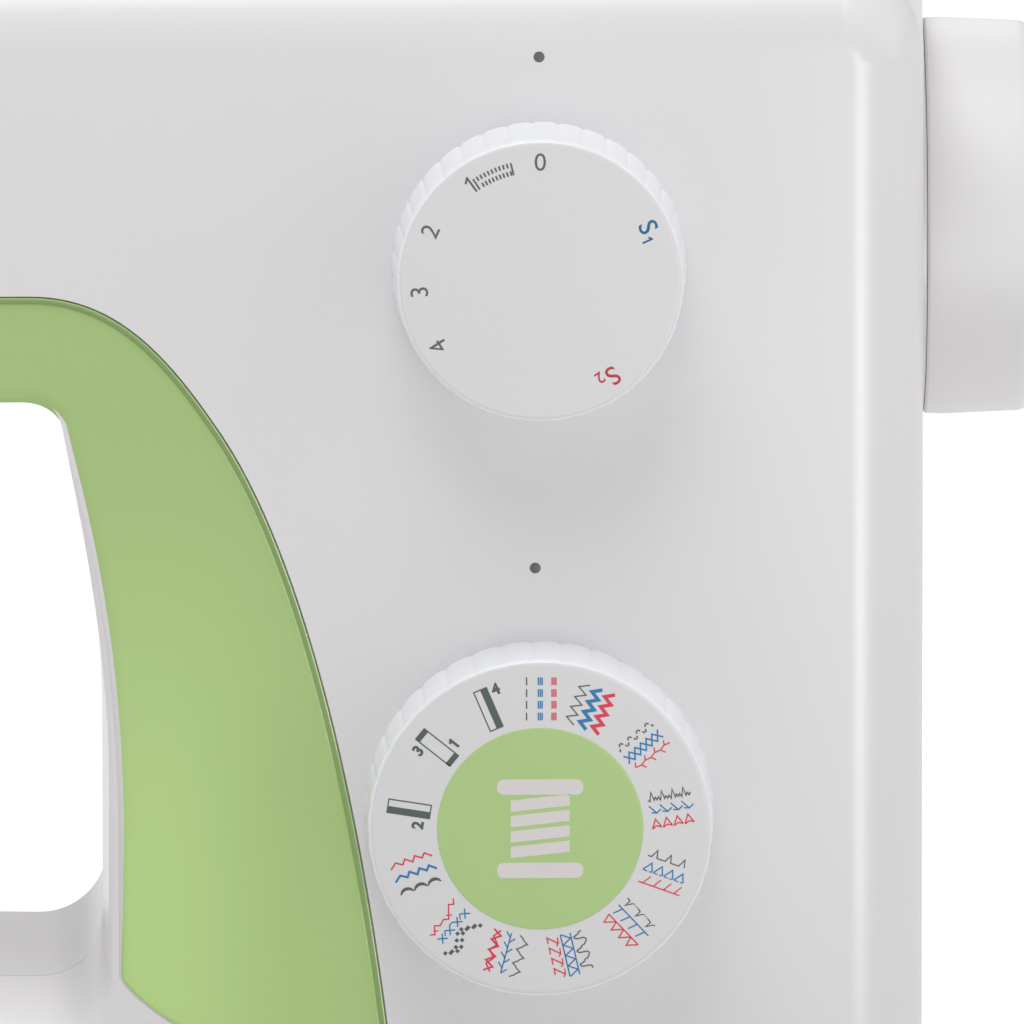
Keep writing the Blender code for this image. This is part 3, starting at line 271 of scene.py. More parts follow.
SLOT_LOOKS = {
    "white_shell": WHITE, "green_shell": GREEN, "steel": STEEL, "cast_metal": CAST,
    "dark_plastic": DARK, "rubber": RUBBER, "bronze": BRONZE, "clear": CLEAR,
}


# ---- mesh helpers

def place(axis, across, up, along):
    """Point whose third number runs along the axis; across and up are the other two."""
    if axis == "X":
        return (along, across, up)
    if axis == "Y":
        return (across, along, up)
    return (across, up, along)


def prism(outline, axis, low, high, bm=None, slot=0):
    """Extrude an outline; its points are (y, z), (x, z) or (x, y) by axis."""
    bm = bm or bmesh.new()
    lower = [bm.verts.new(place(axis, a, b, low)) for a, b in outline]
    upper = [bm.verts.new(place(axis, a, b, high)) for a, b in outline]
    made = [bm.faces.new(lower[::-1]), bm.faces.new(upper)]
    count = len(outline)
    for i in range(count):
        j = (i + 1) % count
        made.append(bm.faces.new((lower[i], lower[j], upper[j], upper[i])))
    for face in made:
        face.material_index = slot
    return bm


def box(x0, x1, y0, y1, z0, z1):
    return prism([(x0, y0), (x1, y0), (x1, y1), (x0, y1)], "Z", z0, z1)


def lathe(profile, axis, centre, segments=64, closed=False, lobes=0, bm=None):
    """Turn (radius, height) or (radius, height, flute depth) points about an axis."""
    bm = bm or bmesh.new()
    rings = []
    for radius, along, *flute in profile:
        if radius == 0.0:
            rings.append([bm.verts.new(place(axis, centre[0], centre[1], along))])
            continue
        loop = []
        for k in range(segments):
            angle = 2.0 * math.pi * k / segments
            r = radius
            if flute and lobes:
                phase = (angle * lobes / (2.0 * math.pi) + 0.27) % 1.0
                r -= flute[0] * abs(2.0 * phase - 1.0) ** 4
            across = centre[0] + r * math.sin(angle)
            up = centre[1] + r * math.cos(angle)
            loop.append(bm.verts.new(place(axis, across, up, along)))
        rings.append(loop)
    pairs = list(zip(rings, rings[1:]))
    if closed:
        pairs.append((rings[-1], rings[0]))
    for first, second in pairs:
        for k in range(segments):
            n = (k + 1) % segments
            corners = [first[k % len(first)], second[k % len(second)]]
            corners += [second[n % len(second)], first[n % len(first)]]
            bm.faces.new(list(dict.fromkeys(corners)))
    return bm


def rod(axis, centre, radius, low, high, segments=48):
    """Closed cylinder along an axis."""
    return lathe([(0.0, low), (radius, low), (radius, high), (0.0, high)], axis, centre, segments)


def arc(centre, radius, start, end, steps):
    """Points on a circle between two angles in degrees."""
    points = []
    for k in range(steps + 1):
        angle = math.radians(start + (end - start) * k / steps)
        points.append((centre[0] + radius * math.cos(angle), centre[1] + radius * math.sin(angle)))
    return points


def quarter_turn(steps, first=0):
    """(1 - cos, 1 - sin) along a quarter circle, for rounded edges."""
    turns = [math.pi * 0.5 * k / steps for k in range(first, steps + 1)]
    return [(1.0 - math.cos(turn), 1.0 - math.sin(turn)) for turn in turns]


def bezier(controls, steps):
    """Points on a cubic curve with four control points."""
    p0, p1, p2, p3 = (Vector(p) for p in controls)
    points = []
    for k in range(steps + 1):
        t = k / steps
        s = 1.0 - t
        point = p0 * s**3 + p1 * 3.0 * s * s * t + p2 * 3.0 * s * t * t + p3 * t**3
        points.append((point.x, point.y))
    return points


def rounded_rectangle(x0, x1, y0, y1, radius, steps=12):
    points = arc((x1 - radius, y0 + radius), radius, -90.0, 0.0, steps)
    points += arc((x1 - radius, y1 - radius), radius, 0.0, 90.0, steps)
    points += arc((x0 + radius, y1 - radius), radius, 90.0, 180.0, steps)
    points += arc((x0 + radius, y0 + radius), radius, 180.0, 270.0, steps)
    return points


def add_object(name, data):
    obj = bpy.data.objects.new(name, data)
    bpy.context.scene.collection.objects.link(obj)
    return obj


def raw_object(name, bm, looks, recalc=True):
    """Object from a mesh drawn in millimetres."""
    if recalc:
        bmesh.ops.recalc_face_normals(bm, faces=bm.faces)
    for vert in bm.verts:
        vert.co *= MM
    mesh = bpy.data.meshes.new(name)
    bm.to_mesh(mesh)
    bm.free()
    for look in looks:
        mesh.materials.append(look)
    return add_object(name, mesh)


def evaluated_mesh(obj):
    """New mesh with the object's modifiers or text applied."""
    bpy.context.view_layer.update()
    graph = bpy.context.evaluated_depsgraph_get()
    return bpy.data.meshes.new_from_object(obj.evaluated_get(graph))


def boolean(target, operation, *tools):
    """Boolean closed shapes into target and keep only the result."""
    for tool in tools:
        cutter = raw_object("cutter", tool, [])
        step = target.modifiers.new("boolean", "BOOLEAN")
        step.operation = operation
        step.solver = "MANIFOLD"
        step.object = cutter
        result = evaluated_mesh(target)
        target.modifiers.remove(step)
        old = target.data
        target.data = result
        result.name = target.name
        bpy.data.meshes.remove(old)
        bpy.data.objects.remove(cutter, do_unlink=True)
    return target


def cut(target, *tools):
    return boolean(target, "DIFFERENCE", *tools)


def join(target, *tools):
    return boolean(target, "UNION", *tools)


def soften(obj, bevel, angle=32.0, segments=3):
    """Round the edges a little and keep flat faces flat in the shading."""
    if bevel:
        step = obj.modifiers.new("edges", "BEVEL")
        step.width = bevel * MM
        step.segments = segments
        step.limit_method = "ANGLE"
        step.angle_limit = math.radians(angle)
        step.use_clamp_overlap = True
        step.miter_outer = "MITER_ARC"
    step = obj.modifiers.new("shading", "WEIGHTED_NORMAL")
    step.keep_sharp = True
    step.weight = 60
    return obj


def mount(obj, body, nodes=(), bevel=0.0, sharp=32.0):
    """Fix an object to its body, in place of the CAD nodes it stands for."""
    obj.data.shade_smooth()
    obj.data.set_sharp_from_angle(angle=math.radians(89.0 if bevel else sharp))
    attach(obj, body)
    if nodes:
        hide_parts(*nodes)
    return soften(obj, bevel, sharp)


def moulded(node, bm, cutters=(), body="machine", bevel=0.0):
    """White moulded part in place of one CAD node, with holes cut in it."""
    part = cut(raw_object(node + "_skin", bm, [WHITE]), *cutters)
    return mount(part, body, [node], bevel)


def piece(name, bm, look, body, nodes=(), bevel=0.0, sharp=32.0):
    """Finished piece from a mesh, with one look or a list of them."""
    looks = look if isinstance(look, list) else [look]
    return mount(raw_object(name, bm, looks), body, nodes, bevel, sharp)


# ---- body shells

def body_outline():
    """Front outline of the covers, and how round the front edge is along each stretch."""
    points = [(BED_LEFT, COVER_BOTTOM), (BODY_RIGHT, COVER_BOTTOM)]
    rounds = [0.0, EDGE_ROUND]
    corner = arc((BODY_RIGHT - TOP_CORNER, TOP - TOP_CORNER), TOP_CORNER, 0.0, 90.0, 24)
    points += corner
    rounds += [EDGE_ROUND] * len(corner)
    points += [(HEAD_COVER_LEFT, TOP), (HEAD_COVER_LEFT, HEAD_UNDER)]
    rounds += [0.0, UNDER_ROUND]
    corner = arc((HEAD_RIGHT - 9.0, HEAD_UNDER + 9.0), 9.0, -90.0, 0.0, 9)
    points += corner
    rounds += [UNDER_ROUND] * 5 + [THROAT_ROUND] * 5
    fillet = arc((HEAD_RIGHT + 18.0, ARM_UNDER - 18.0), 18.0, 180.0, 90.0, 16)
    points += fillet
    rounds += [THROAT_ROUND] * len(fillet)
    throat = bezier(ARM_CORNER, 14) + bezier(PILLAR_SWEEP, 26)[1:]
    centre = (PILLAR_SWEEP[3][0] - BED_FILLET, BED_TOP + BED_FILLET)
    throat += arc(centre, BED_FILLET, 0.0, -90.0, 16)
    points += throat
    rounds += [THROAT_ROUND] * len(throat)
    points.append((BED_LEFT, BED_TOP))
    rounds.append(0.0)
    return points, rounds


def edge_normals(points):
    """Outward normal of each edge of an anticlockwise outline."""
    normals = []
    count = len(points)
    for i in range(count):
        ax, az = points[i]
        bx, bz = points[(i + 1) % count]
        length = max(math.hypot(bx - ax, bz - az), 1e-9)
        normals.append(((bz - az) / length, -(bx - ax) / length))
    return normals


def inset_point(point, normal_a, inset_a, normal_b, inset_b):
    """Move a corner inwards by each of its two edges' own inset."""
    det = normal_a[0] * normal_b[1] - normal_a[1] * normal_b[0]
    if abs(det) < 0.35:
        mean_x = normal_a[0] + normal_b[0]
        mean_z = normal_a[1] + normal_b[1]
        length = math.hypot(mean_x, mean_z)
        inset = 0.5 * (inset_a + inset_b)
        return (point[0] - mean_x / length * inset, point[1] - mean_z / length * inset)
    dx = (-inset_a * normal_b[1] + inset_b * normal_a[1]) / det
    dz = (-inset_b * normal_a[0] + inset_a * normal_b[0]) / det
    return (point[0] + dx, point[1] + dz)


def shell_loop(bm, points, normals, rounds, face_y, turn, wall):
    """Outline at one turn of the rounded edge, or at the middle seam when turn is None."""
    side = -1.0 if face_y < 0.0 else 1.0
    verts = []
    for i in range(len(points)):
        insets = []
        depths = []
        for edge in (i - 1, i):
            radius = max(rounds[edge] - wall, 0.4)
            if turn is None:
                insets.append(wall)
                depths.append(abs(face_y) - SEAM)
                continue
            draft = DRAFT if rounds[edge] > 0.0 else 0.0
            insets.append(wall + draft + radius * turn[0])
            depths.append(wall + radius * turn[1])
        x, z = inset_point(points[i], normals[i - 1], insets[0], normals[i], insets[1])
        y = face_y - side * 0.5 * (depths[0] + depths[1])
        verts.append(bm.verts.new((x, y, z)))
    return verts


def bridge(bm, loops):
    """Faces between each loop of points and the next."""
    for first, second in zip(loops, loops[1:]):
        count = len(first)
        for i in range(count):
            j = (i + 1) % count
            bm.faces.new((first[i], first[j], second[j], second[i]))


def shell(face_y, steps=9):
    """Open-backed cover between the middle seam and a flat face at face_y."""
    points, rounds = body_outline()
    normals = edge_normals(points)
    turns = [None] + quarter_turn(steps)
    bm = bmesh.new()
    outer = [shell_loop(bm, points, normals, rounds, face_y, turn, 0.0) for turn in turns]
    inner = [shell_loop(bm, points, normals, rounds, face_y, turn, WALL) for turn in turns]
    bridge(bm, outer[::-1] + inner)
    bm.faces.new(outer[-1])
    bm.faces.new(inner[-1])
    return bm


def insert_outline(grow):
    """Outline of the throat insert, and the kind of profile along each of its edges."""
    points = [(INSERT_LEFT - grow, ARM_UNDER + 0.1 - grow)]
    points += [(x - 0.5 * grow, z - grow) for x, z in bezier(INSERT_CORNER, 12)]
    points += [(x - 0.8 * grow, z - grow) for x, z in bezier(INSERT_INNER_SWEEP, 24)[1:]]
    kinds = ["roll"] * len(points)
    points += [(x - 0.8 * grow, z - grow) for x, z in bezier(INSERT_TOE, 14)]
    kinds += ["plain"] * (len(points) - len(kinds))
    points.append((INSERT_TOE_RIGHT + grow, INSERT_TOE[3][1] - grow))
    points += [(x + grow, z + 0.5 * grow) for x, z in bezier(INSERT_PILLAR_SWEEP, 30)[::-1]]
    points += [(x + 0.5 * grow, z + grow) for x, z in bezier(INSERT_ARM_SWEEP, 24)[::-1][1:]]
    radius = INSERT_LEFT_ROUND
    left_corner = arc((INSERT_LEFT + radius, INSERT_TOP - radius), radius, 90.0, 180.0, 12)
    points += [(x, z + grow) for x, z in left_corner]
    kinds += ["lip"] * (len(points) - len(kinds))
    return points, kinds


def build_covers():
    """Front and rear covers, with the openings that the controls pass through."""
    y0 = FRONT - 4.0
    y1 = FRONT + 6.0
    take_up = rounded_rectangle(-156.0, -149.5, 194.0, 250.0, 3.2)
    lever = rounded_rectangle(DIAL_X - 11.2, DIAL_X + 11.2, REVERSE_Z - 11.5, REVERSE_Z + 5.0, 2.0)
    holes = [prism(insert_outline(INSERT_CLEARANCE)[0], "Y", FRONT - 5.0, FRONT + 1.2)]
    for centre in ((DIAL_X, LENGTH_DIAL_Z), (DIAL_X, PATTERN_DIAL_Z), TENSION):
        holes.append(rod("Y", centre, DIAL_SPINDLE_R, y0, y1))
    holes += [prism(take_up, "Y", y0, y1), prism(lever, "Y", y0, y1), *inner_windows(-50.0, 5.0)]
    holes.append(rod("X", (0.0, SHAFT_Z), 12.0, 160.0, 175.0))
    moulded("front_cover", shell(FRONT), holes)

    winder = rounded_rectangle(112.0, 129.0, 6.0, 14.0, 3.0)
    switch = rounded_rectangle(8.0, 24.0, SWITCH_Z - 11.6, SWITCH_Z + 11.6, 1.5)
    socket = rounded_rectangle(SOCKET_Y - 9.0, SOCKET_Y + 9.0, 38.0, 64.0, 1.5)
    holes = [*inner_windows(-5.0, 52.0), rod("Y", LIFTER_CENTRE, 3.6, 50.0, 70.0)]
    holes += [prism(winder, "Z", TOP - 5.0, TOP + 3.0), rod("Z", SPOOL_CENTRE, 3.4, TOP - 6.0, TOP + 3.0)]
    holes += [prism(outline, "X", 160.0, 172.0) for outline in (switch, socket)]
    holes.append(rod("X", (0.0, SHAFT_Z), 12.0, 160.0, 175.0))
    stop = [(0.0, TOP - 2.0), (7.0, TOP - 2.0), (7.0, TOP + 8.0), (6.0, TOP + 9.0), (0.0, TOP + 9.0)]
    rear = cut(raw_object("rear_cover_skin", shell(REAR), [WHITE]), *holes)
    add_hinges(rear)
    join(rear, lathe(stop, "Z", (140.0, 10.0)))
    mount(rear, "machine", ["rear_cover"])


def inner_windows(y0, y1):
    """Hidden openings: towards the face cover, the needle, the base and the free arm."""
    head = box(HEAD_COVER_LEFT - 2.0, HEAD_COVER_LEFT + 4.0, y0, y1, 163.0, 274.0)
    needle = box(-168.0, -115.0, y0 + 4.0, y1, HEAD_UNDER - 2.0, HEAD_UNDER + 4.0)
    base = box(0.0, 155.0, y0, y1, COVER_BOTTOM - 2.0, COVER_BOTTOM + 4.0)
    low = max(y0, -24.0)
    high = min(y1, 46.0)
    arm = box(BED_LEFT - 2.0, BED_LEFT + 4.0, low, high, 37.0, BED_TOP - 6.0)
    return [head, needle, base, arm]


def add_hinges(cover):
    """Two lugs with pins for the carrying handle."""
    y0 = HANDLE_Y - 5.0
    y1 = HANDLE_Y + 5.0
    for x0 in (-47.6, 21.6):
        outline = [(y0, TOP - 2.0), (y1, TOP - 2.0), (y1, TOP + 5.5)]
        outline += arc((HANDLE_Y, TOP + 5.5), 5.0, 0.0, 180.0, 14)[1:]
        join(cover, prism(outline, "X", x0, x0 + 8.0))
        start = x0 - 5.0 if x0 < 0.0 else x0 + 4.0
        join(cover, rod("X", (HANDLE_Y, TOP + 6.0), 2.1, start, start + 9.0, 24))


# Section across the insert's edge: (distance in from the outline, y), one step for each loop
INSERT_PROFILES = {
    "lip": [
        (0.0, -57.0), (0.0, -57.84), (0.08, -57.96), (0.2, -57.99), (0.34, -57.92), (0.44, -57.8),
        (1.14, -57.08), (1.2, -57.04), (1.34, -57.16), (1.55, INSERT_FACE),
    ],
    "roll": [
        (0.0, -56.2), (0.0, -56.25), (0.12, -56.4), (0.35, -56.58), (0.7, -56.76), (1.1, -56.92),
        (1.6, -57.05), (2.1, -57.14), (2.6, -57.19), (3.2, INSERT_FACE),
    ],
    "plain": [
        (0.0, -56.2), (0.0, -56.98), (0.12, -57.1), (0.35, -57.17), (0.7, -57.195), (1.1, -57.2),
        (1.6, -57.205), (2.1, -57.21), (2.6, -57.215), (3.2, INSERT_FACE),
    ],
}
LIP_SLOPE = range(4, 7)  # the steps that run down the inner side of the lip


def build_insert():
    """Coloured skin in the throat: a raised lip outside, a rolled edge inside."""
    points, kinds = insert_outline(0.0)
    normals = edge_normals(points)
    bm = bmesh.new()
    loops = []
    for step in range(len(INSERT_PROFILES["lip"])):
        verts = []
        for i, point in enumerate(points):
            before = INSERT_PROFILES[kinds[i - 1]][step]
            after = INSERT_PROFILES[kinds[i]][step]
            x, z = inset_point(point, normals[i - 1], before[0], normals[i], after[0])
            verts.append(bm.verts.new((x, 0.5 * (before[1] + after[1]), z)))
        loops.append(verts)
    bridge(bm, loops)
    bm.faces.ensure_lookup_table()
    # The lip's inner slope takes the darker green, a painted shade.
    for step in LIP_SLOPE:
        for i, kind in enumerate(kinds):
            bm.faces[step * len(points) + i].material_index = 1 if kind == "lip" else 0
    bm.faces.new(loops[0])
    bm.faces.new(loops[-1])
    piece(
        "throat_insert_skin", bm, [GREEN, GREEN_LIP_SHADE], "machine", ["throat_insert"],
        sharp=40.0,
    )


def face_loop(bm, x, inset):
    """Outline of the face cover at x, drawn in by inset."""
    low = HEAD_UNDER + min(inset, UNDER_ROUND)
    front = FRONT + DRAFT + inset
    rear = REAR - DRAFT - inset
    outline = rounded_rectangle(front, rear, low, TOP - inset, 6.0, 10)
    return [bm.verts.new((x, y, z)) for y, z in outline]


def build_face_cover():
    """Hinged left end of the head, an open-backed shell with a rounded rim."""
    bm = bmesh.new()
    loops = [(HEAD_COVER_LEFT - GAP, 0.0)]
    for inset, back in quarter_turn(10):
        loops.append((FACE_LEFT + EDGE_ROUND * back, EDGE_ROUND * inset))
    rings = [face_loop(bm, x, inset) for x, inset in loops]
    inner = []
    for k, (x, inset) in enumerate(loops):
        inner.append(face_loop(bm, x + (WALL if k else 0.0), inset + WALL))
    bridge(bm, rings[::-1] + inner)
    bm.faces.new(rings[-1])
    bm.faces.new(inner[-1])
    piece("face_cover_skin", bm, WHITE, "face_cover", ["face_cover"])


def build_dots():
    """Printed setting marks above the two dials."""
    bm = bmesh.new()
    low = FRONT + 0.02
    high = FRONT - 0.04
    profile = [(0.0, low), (1.05, low), (1.05, FRONT - 0.02), (1.0, high), (0.0, high)]
    for centre in SETTING_DOTS:
        lathe(profile, "Y", centre, 32, bm=bm)
    piece("setting_marks", bm, INK_DARK, "machine")


# ---- dials

def dial_profile(rear, base_r, face_r, front, rim, flute):
    """Skirt with shallow flutes, a soft rim and a flat face."""
    low = rear - 1.0
    edge = front + rim
    steps = 6
    profile = [(0.0, rear, 0.0), (base_r, rear, flute), (base_r, low, flute)]
    for k in range(1, steps + 1):
        t = k / steps
        radius = base_r + (face_r - base_r) * t
        profile.append((radius, low + (edge - low) * t, flute * (1.0 - 0.35 * t)))
    for k, (inset, back) in enumerate(quarter_turn(steps, 1), 1):
        depth = flute * 0.65 * (1.0 - k / steps) ** 1.4
        profile.append((face_r - rim * inset, front + rim * back, depth))
    profile.append((0.0, front, 0.0))
    return profile


def knob(name, profile, centre, segments, lobes, node):
    """Fluted knob with a satin face and a skirt in a brighter white that is painted light, on the body
    named after its node.
    """
    bm = lathe(profile, "Y", centre, segments, lobes=lobes)
    bmesh.ops.recalc_face_normals(bm, faces=bm.faces)
    for face in bm.faces:
        # Faces not turned to the front get the brighter skirt white, a painted light.
        face.material_index = 0 if abs(face.normal.y) > 0.9 else 1
    return piece(name, bm, [SOFT_WHITE, SKIRT_LIT_WHITE], node, [node], sharp=35.0)


def ribbon(points, width):
    """Outline of a line of even width with mitred corners."""
    half = 0.5 * width
    path = [Vector(p) for p in points]
    left = []
    right = []
    for i, point in enumerate(path):
        before = (point - path[i - 1]).normalized() if i else None
        after = (path[i + 1] - point).normalized() if i + 1 < len(path) else None
        along = (before or after) + (after or before)
        along = along.normalized() if along.length > 1e-6 else (before or after)
        side = Vector((-along.y, along.x))
        edge = before or after
        cosine = max(abs(side.dot(Vector((-edge.y, edge.x)))), 0.4)
        left.append(tuple(point + side * half / cosine))
        right.append(tuple(point - side * half / cosine))
    return left + right[::-1]


class Print:
    """Thin raised ink on a dial face, drawn in polar places round the dial's centre."""

    def __init__(self, centre, front):
        self.bm = bmesh.new()
        self.centre = Vector(centre)
        self.front = front
        self.count = 0

    def spot(self, angle, radius):
        """Move to an angle clockwise from the top, in degrees, and a radius."""
        turn = math.radians(angle)
        self.out = Vector((math.sin(turn), math.cos(turn)))
        self.side = Vector((math.cos(turn), -math.sin(turn)))
        self.origin = self.centre + self.out * radius

    def to_face(self, along, across):
        """Place on the face from (outwards, clockwise) mm from the spot."""
        return tuple(self.origin + self.out * along + self.side * across)

    def fill(self, outline, ink):
        """outline is in (outwards, clockwise) mm from the spot."""
        self.count += 1
        lift = 0.02 + 0.004 * (self.count % 5)
        flat = [self.to_face(a, b) for a, b in outline]
        prism(flat, "Y", self.front + 0.02, self.front - lift, self.bm, ink)

    def line(self, points, width, ink):
        self.fill(ribbon(points, width), ink)

    def one(self, height, along, across, width, ink):
        """The digit one, as a stem and a flag."""
        top = along + 0.5 * height
        self.line([(along - 0.5 * height, across), (top, across)], width, ink)
        flag = [(top - 0.5 * width, across), (top - 0.30 * height, across - 0.27 * height)]
        self.line(flag, width, ink)

    def text(self, body, height, along, across, ink, bold=0.0):
        """A digit or letter of the given cap height, centred beside the spot."""
        curve = bpy.data.curves.new("glyph", "FONT")
        curve.body = body
        curve.size = height / 0.70
        curve.align_x = "CENTER"
        curve.align_y = "CENTER"
        curve.offset = bold
        curve.resolution_u = 6
        curve.extrude = 0.02
        obj = add_object("glyph", curve)
        mesh = evaluated_mesh(obj)
        made = []
        for vert in mesh.vertices:
            x, z = self.to_face(along + vert.co.y, across + vert.co.x)
            made.append(self.bm.verts.new((x, self.front - vert.co.z, z)))
        for polygon in mesh.polygons:
            face = self.bm.faces.new([made[v] for v in polygon.vertices])
            face.material_index = ink
        bpy.data.objects.remove(obj, do_unlink=True)
        bpy.data.curves.remove(curve)
        bpy.data.meshes.remove(mesh)

    def finish(self, name, body, looks):
        bmesh.ops.remove_doubles(self.bm, verts=self.bm.verts, dist=1e-5)
        return piece(name, self.bm, looks, body, sharp=30.0)


# Stitch diagrams: each is three rows of lines, one colour to a row, drawn in (outwards, clockwise)
# mm from the middle of the row. HALF is half the length of a row and ROW the step between rows.
GREY, BLUE, RED = 0, 1, 2
HALF = 4.15
ROW = 2.6


def row(ink, color, width, points):
    ink.line([(a, b + ROW * (color - 1)) for a, b in points], width, color)


def rail(ink, color, width, across):
    row(ink, color, width, [(-HALF, across), (HALF, across)])


def repeat(ink, count, start, pitch, *strokes):
    """Draw the same strokes again and again, a pitch apart."""
    for k in range(count):
        for color, width, points in strokes:
            row(ink, color, width, [(-HALF + start + pitch * k + a, b) for a, b in points])


def chain(count, start, pitch, points):
    """The same points again and again, a pitch apart, as one line."""
    return [(-HALF + start + pitch * k + a, b) for k in range(count) for a, b in points]


def zigzag(teeth, height, start=1.0):
    step = HALF / teeth
    return [(-HALF + i * step, height * start * (-1.0) ** i) for i in range(2 * teeth + 1)]


def dashed(points, share=0.6, parts=2):
    """Cut each stretch of a line into short dashes."""
    dashes = []
    for start, end in zip(points, points[1:]):
        a = Vector(start)
        b = Vector(end)
        for k in range(parts):
            t = (k + 0.5 * (1.0 - share)) / parts
            dashes.append([tuple(a.lerp(b, t)), tuple(a.lerp(b, t + share / parts))])
    return dashes


def straight_rows(ink):
    for color, offsets in ((GREY, (0.0,)), (BLUE, (-0.36, 0.0, 0.36)), (RED, (-0.36, 0.0, 0.36))):
        strokes = [(color, 0.26, [(0.0, offset), (1.5, offset)]) for offset in offsets]
        repeat(ink, 4, 0.0, 2.28, *strokes)


def zigzag_rows(ink):
    row(ink, GREY, 0.24, zigzag(4, 0.95))
    row(ink, BLUE, 0.7, zigzag(4, 0.85))
    row(ink, RED, 0.7, zigzag(4, 0.85))


def lattice_rows(ink):
    for dash in dashed(zigzag(4, 0.85)):
        row(ink, GREY, 0.3, dash)
    row(ink, BLUE, 0.3, zigzag(3, 0.9))
    row(ink, BLUE, 0.3, zigzag(3, 0.9, -1.0))
    spine = [(-HALF + 0.5 + 1.15 * k, -0.05 if k % 2 else -0.35) for k in range(8)]
    for k in range(7):
        a, b = spine[k]
        row(ink, RED, 0.25, spine[k:k + 2])
        row(ink, RED, 0.25, [(a, b), (a + 0.5, b + (0.95 if k % 2 else -0.85))])


def spike_rows(ink):
    spike = [(0.0, 0.75), (0.4, -1.0), (0.8, 0.6), (1.1, 0.1), (1.4, 0.6), (1.7, 0.1)]
    row(ink, GREY, 0.25, [(-HALF, 0.5)] + chain(4, 0.35, 2.05, spike))
    repeat(
        ink, 4, 0.0, 2.08,
        (BLUE, 0.26, [(0.0, -1.0), (1.3, 0.55), (2.2, -0.1)]),
        (BLUE, 0.24, [(0.3, 0.35), (1.3, 0.55)]),
        (RED, 0.26, [(0.0, 0.9), (0.85, -0.9), (1.8, 0.75)]),
        (RED, 0.26, [(0.0, 0.9), (0.9, 0.4), (1.8, 0.75)]),
    )


def blind_rows(ink):
    tooth = [(0.0, 0.55), (0.75, -0.95), (1.1, 0.55), (2.0, 0.55)]
    row(ink, GREY, 0.24, [(-HALF, 0.55)] + chain(3, 0.7, 2.75, tooth)[:-1])
    repeat(
        ink, 4, 0.0, 2.08,
        (BLUE, 0.26, [(0.0, 0.8), (1.25, -0.85), (1.85, 0.8)]),
        (BLUE, 0.22, [(0.1, 0.85), (0.9, 0.85)]),
        (BLUE, 0.22, [(1.2, 0.85), (1.8, 0.85)]),
        (RED, 0.24, [(0.9, 0.7), (1.9, -0.95)]),
    )
    rail(ink, RED, 0.26, 0.7)


def comb_rows(ink):
    tooth = (GREY, 0.24, [(0.0, -0.35), (0.75, -0.2), (0.75, 1.0), (1.5, -0.3)])
    dashes = [(GREY, 0.24, dash) for dash in dashed([(1.5, -0.35), (2.85, -0.35)], 0.5, 3)]
    repeat(ink, 2, 0.2, 2.85, tooth, *dashes)
    repeat(ink, 1, 5.9, 0.0, tooth, dashes[0])
    rail(ink, BLUE, 0.26, -0.75)
    repeat(ink, 4, 0.5, 2.05, (BLUE, 0.26, [(0.6, -0.7), (0.0, 1.15)]))
    rail(ink, RED, 0.26, -0.75)
    repeat(ink, 4, 0.0, 2.05, (RED, 0.26, [(0.1, -0.7), (0.6, 1.0), (2.0, -0.65)]))


def truss_rows(ink):
    loop = arc((0.55, -0.35), 0.5, 180.0, 90.0, 4) + arc((0.95, 0.35), 0.5, 90.0, 0.0, 4)
    loop += [(1.45, -0.3)] + arc((1.9, -0.35), 0.45, 180.0, 300.0, 4)
    row(ink, GREY, 0.24, chain(3, 0.0, 2.75, [(a, 1.35 * b) for a, b in loop]))
    rail(ink, BLUE, 0.27, -0.95)
    rail(ink, BLUE, 0.27, 0.95)
    row(ink, BLUE, 0.25, zigzag(4, 0.85))
    repeat(
        ink, 4, 0.0, 2.05,
        (RED, 0.26, [(1.2, 1.0), (0.0, 0.95), (1.5, -0.9), (2.0, -0.5)]),
        (RED, 0.24, [(1.5, -0.9), (0.4, -1.0)]),
    )


def feather_rows(ink):
    grey = []
    for a, b in zigzag(3, 0.9):
        grey += [(a, b), (a + 0.45, b * 0.25), (a + 0.75, b * 0.05)]
    row(ink, GREY, 0.24, grey[:-2])
    row(ink, BLUE, 0.26, [(-HALF, 0.0), (HALF - 0.2, 0.0)])
    barbs = ([(0.0, 0.0), (-1.0, 0.95)], [(1.0, 0.0), (0.0, -0.95)])
    repeat(ink, 4, 0.9, 2.05, *[(BLUE, 0.25, barb) for barb in barbs])
    row(ink, RED, 0.36, zigzag(4, 0.8))
    row(ink, RED, 0.3, zigzag(3, 0.55, -1.0))


def check_rows(ink):
    side = 0.66
    for k, b in enumerate((-0.75, 0.0, 0.75, 0.75, 0.0, -0.75, -0.75, 0.0)):
        for c in (0.0, 0.72):
            a = -HALF + 0.3 + 1.1 * k + c
            low = -ROW + b - 0.72 + c
            ink.fill([(a, low), (a + side, low), (a + side, low + side), (a, low + side)], GREY)
    for k in range(4):
        cross = [(BLUE, 0.26, [(-0.7, -0.7 * slope), (0.7, 0.7 * slope)]) for slope in (1.0, -1.0)]
        link = (BLUE, 0.24, [(0.7, 0.7), (1.45, 0.7 if k % 2 else -0.1)])
        repeat(ink, 1, 0.8 + 2.15 * k, 0.0, *cross, *([link] if k < 3 else []))
    red = [(0.0, 1.0), (0.8, 0.2), (1.5, 0.9), (3.6, -1.0), (4.3, -0.3)]
    red += [(5.6, -0.6), (6.4, 0.2), (7.6, -1.0), (8.3, -0.3)]
    spurs = ([(2.6, -0.9), (3.4, -0.1)], [(6.6, -1.0), (7.3, -0.3)])
    repeat(ink, 1, 0.0, 0.0, (RED, 0.27, red), *[(RED, 0.24, spur) for spur in spurs])


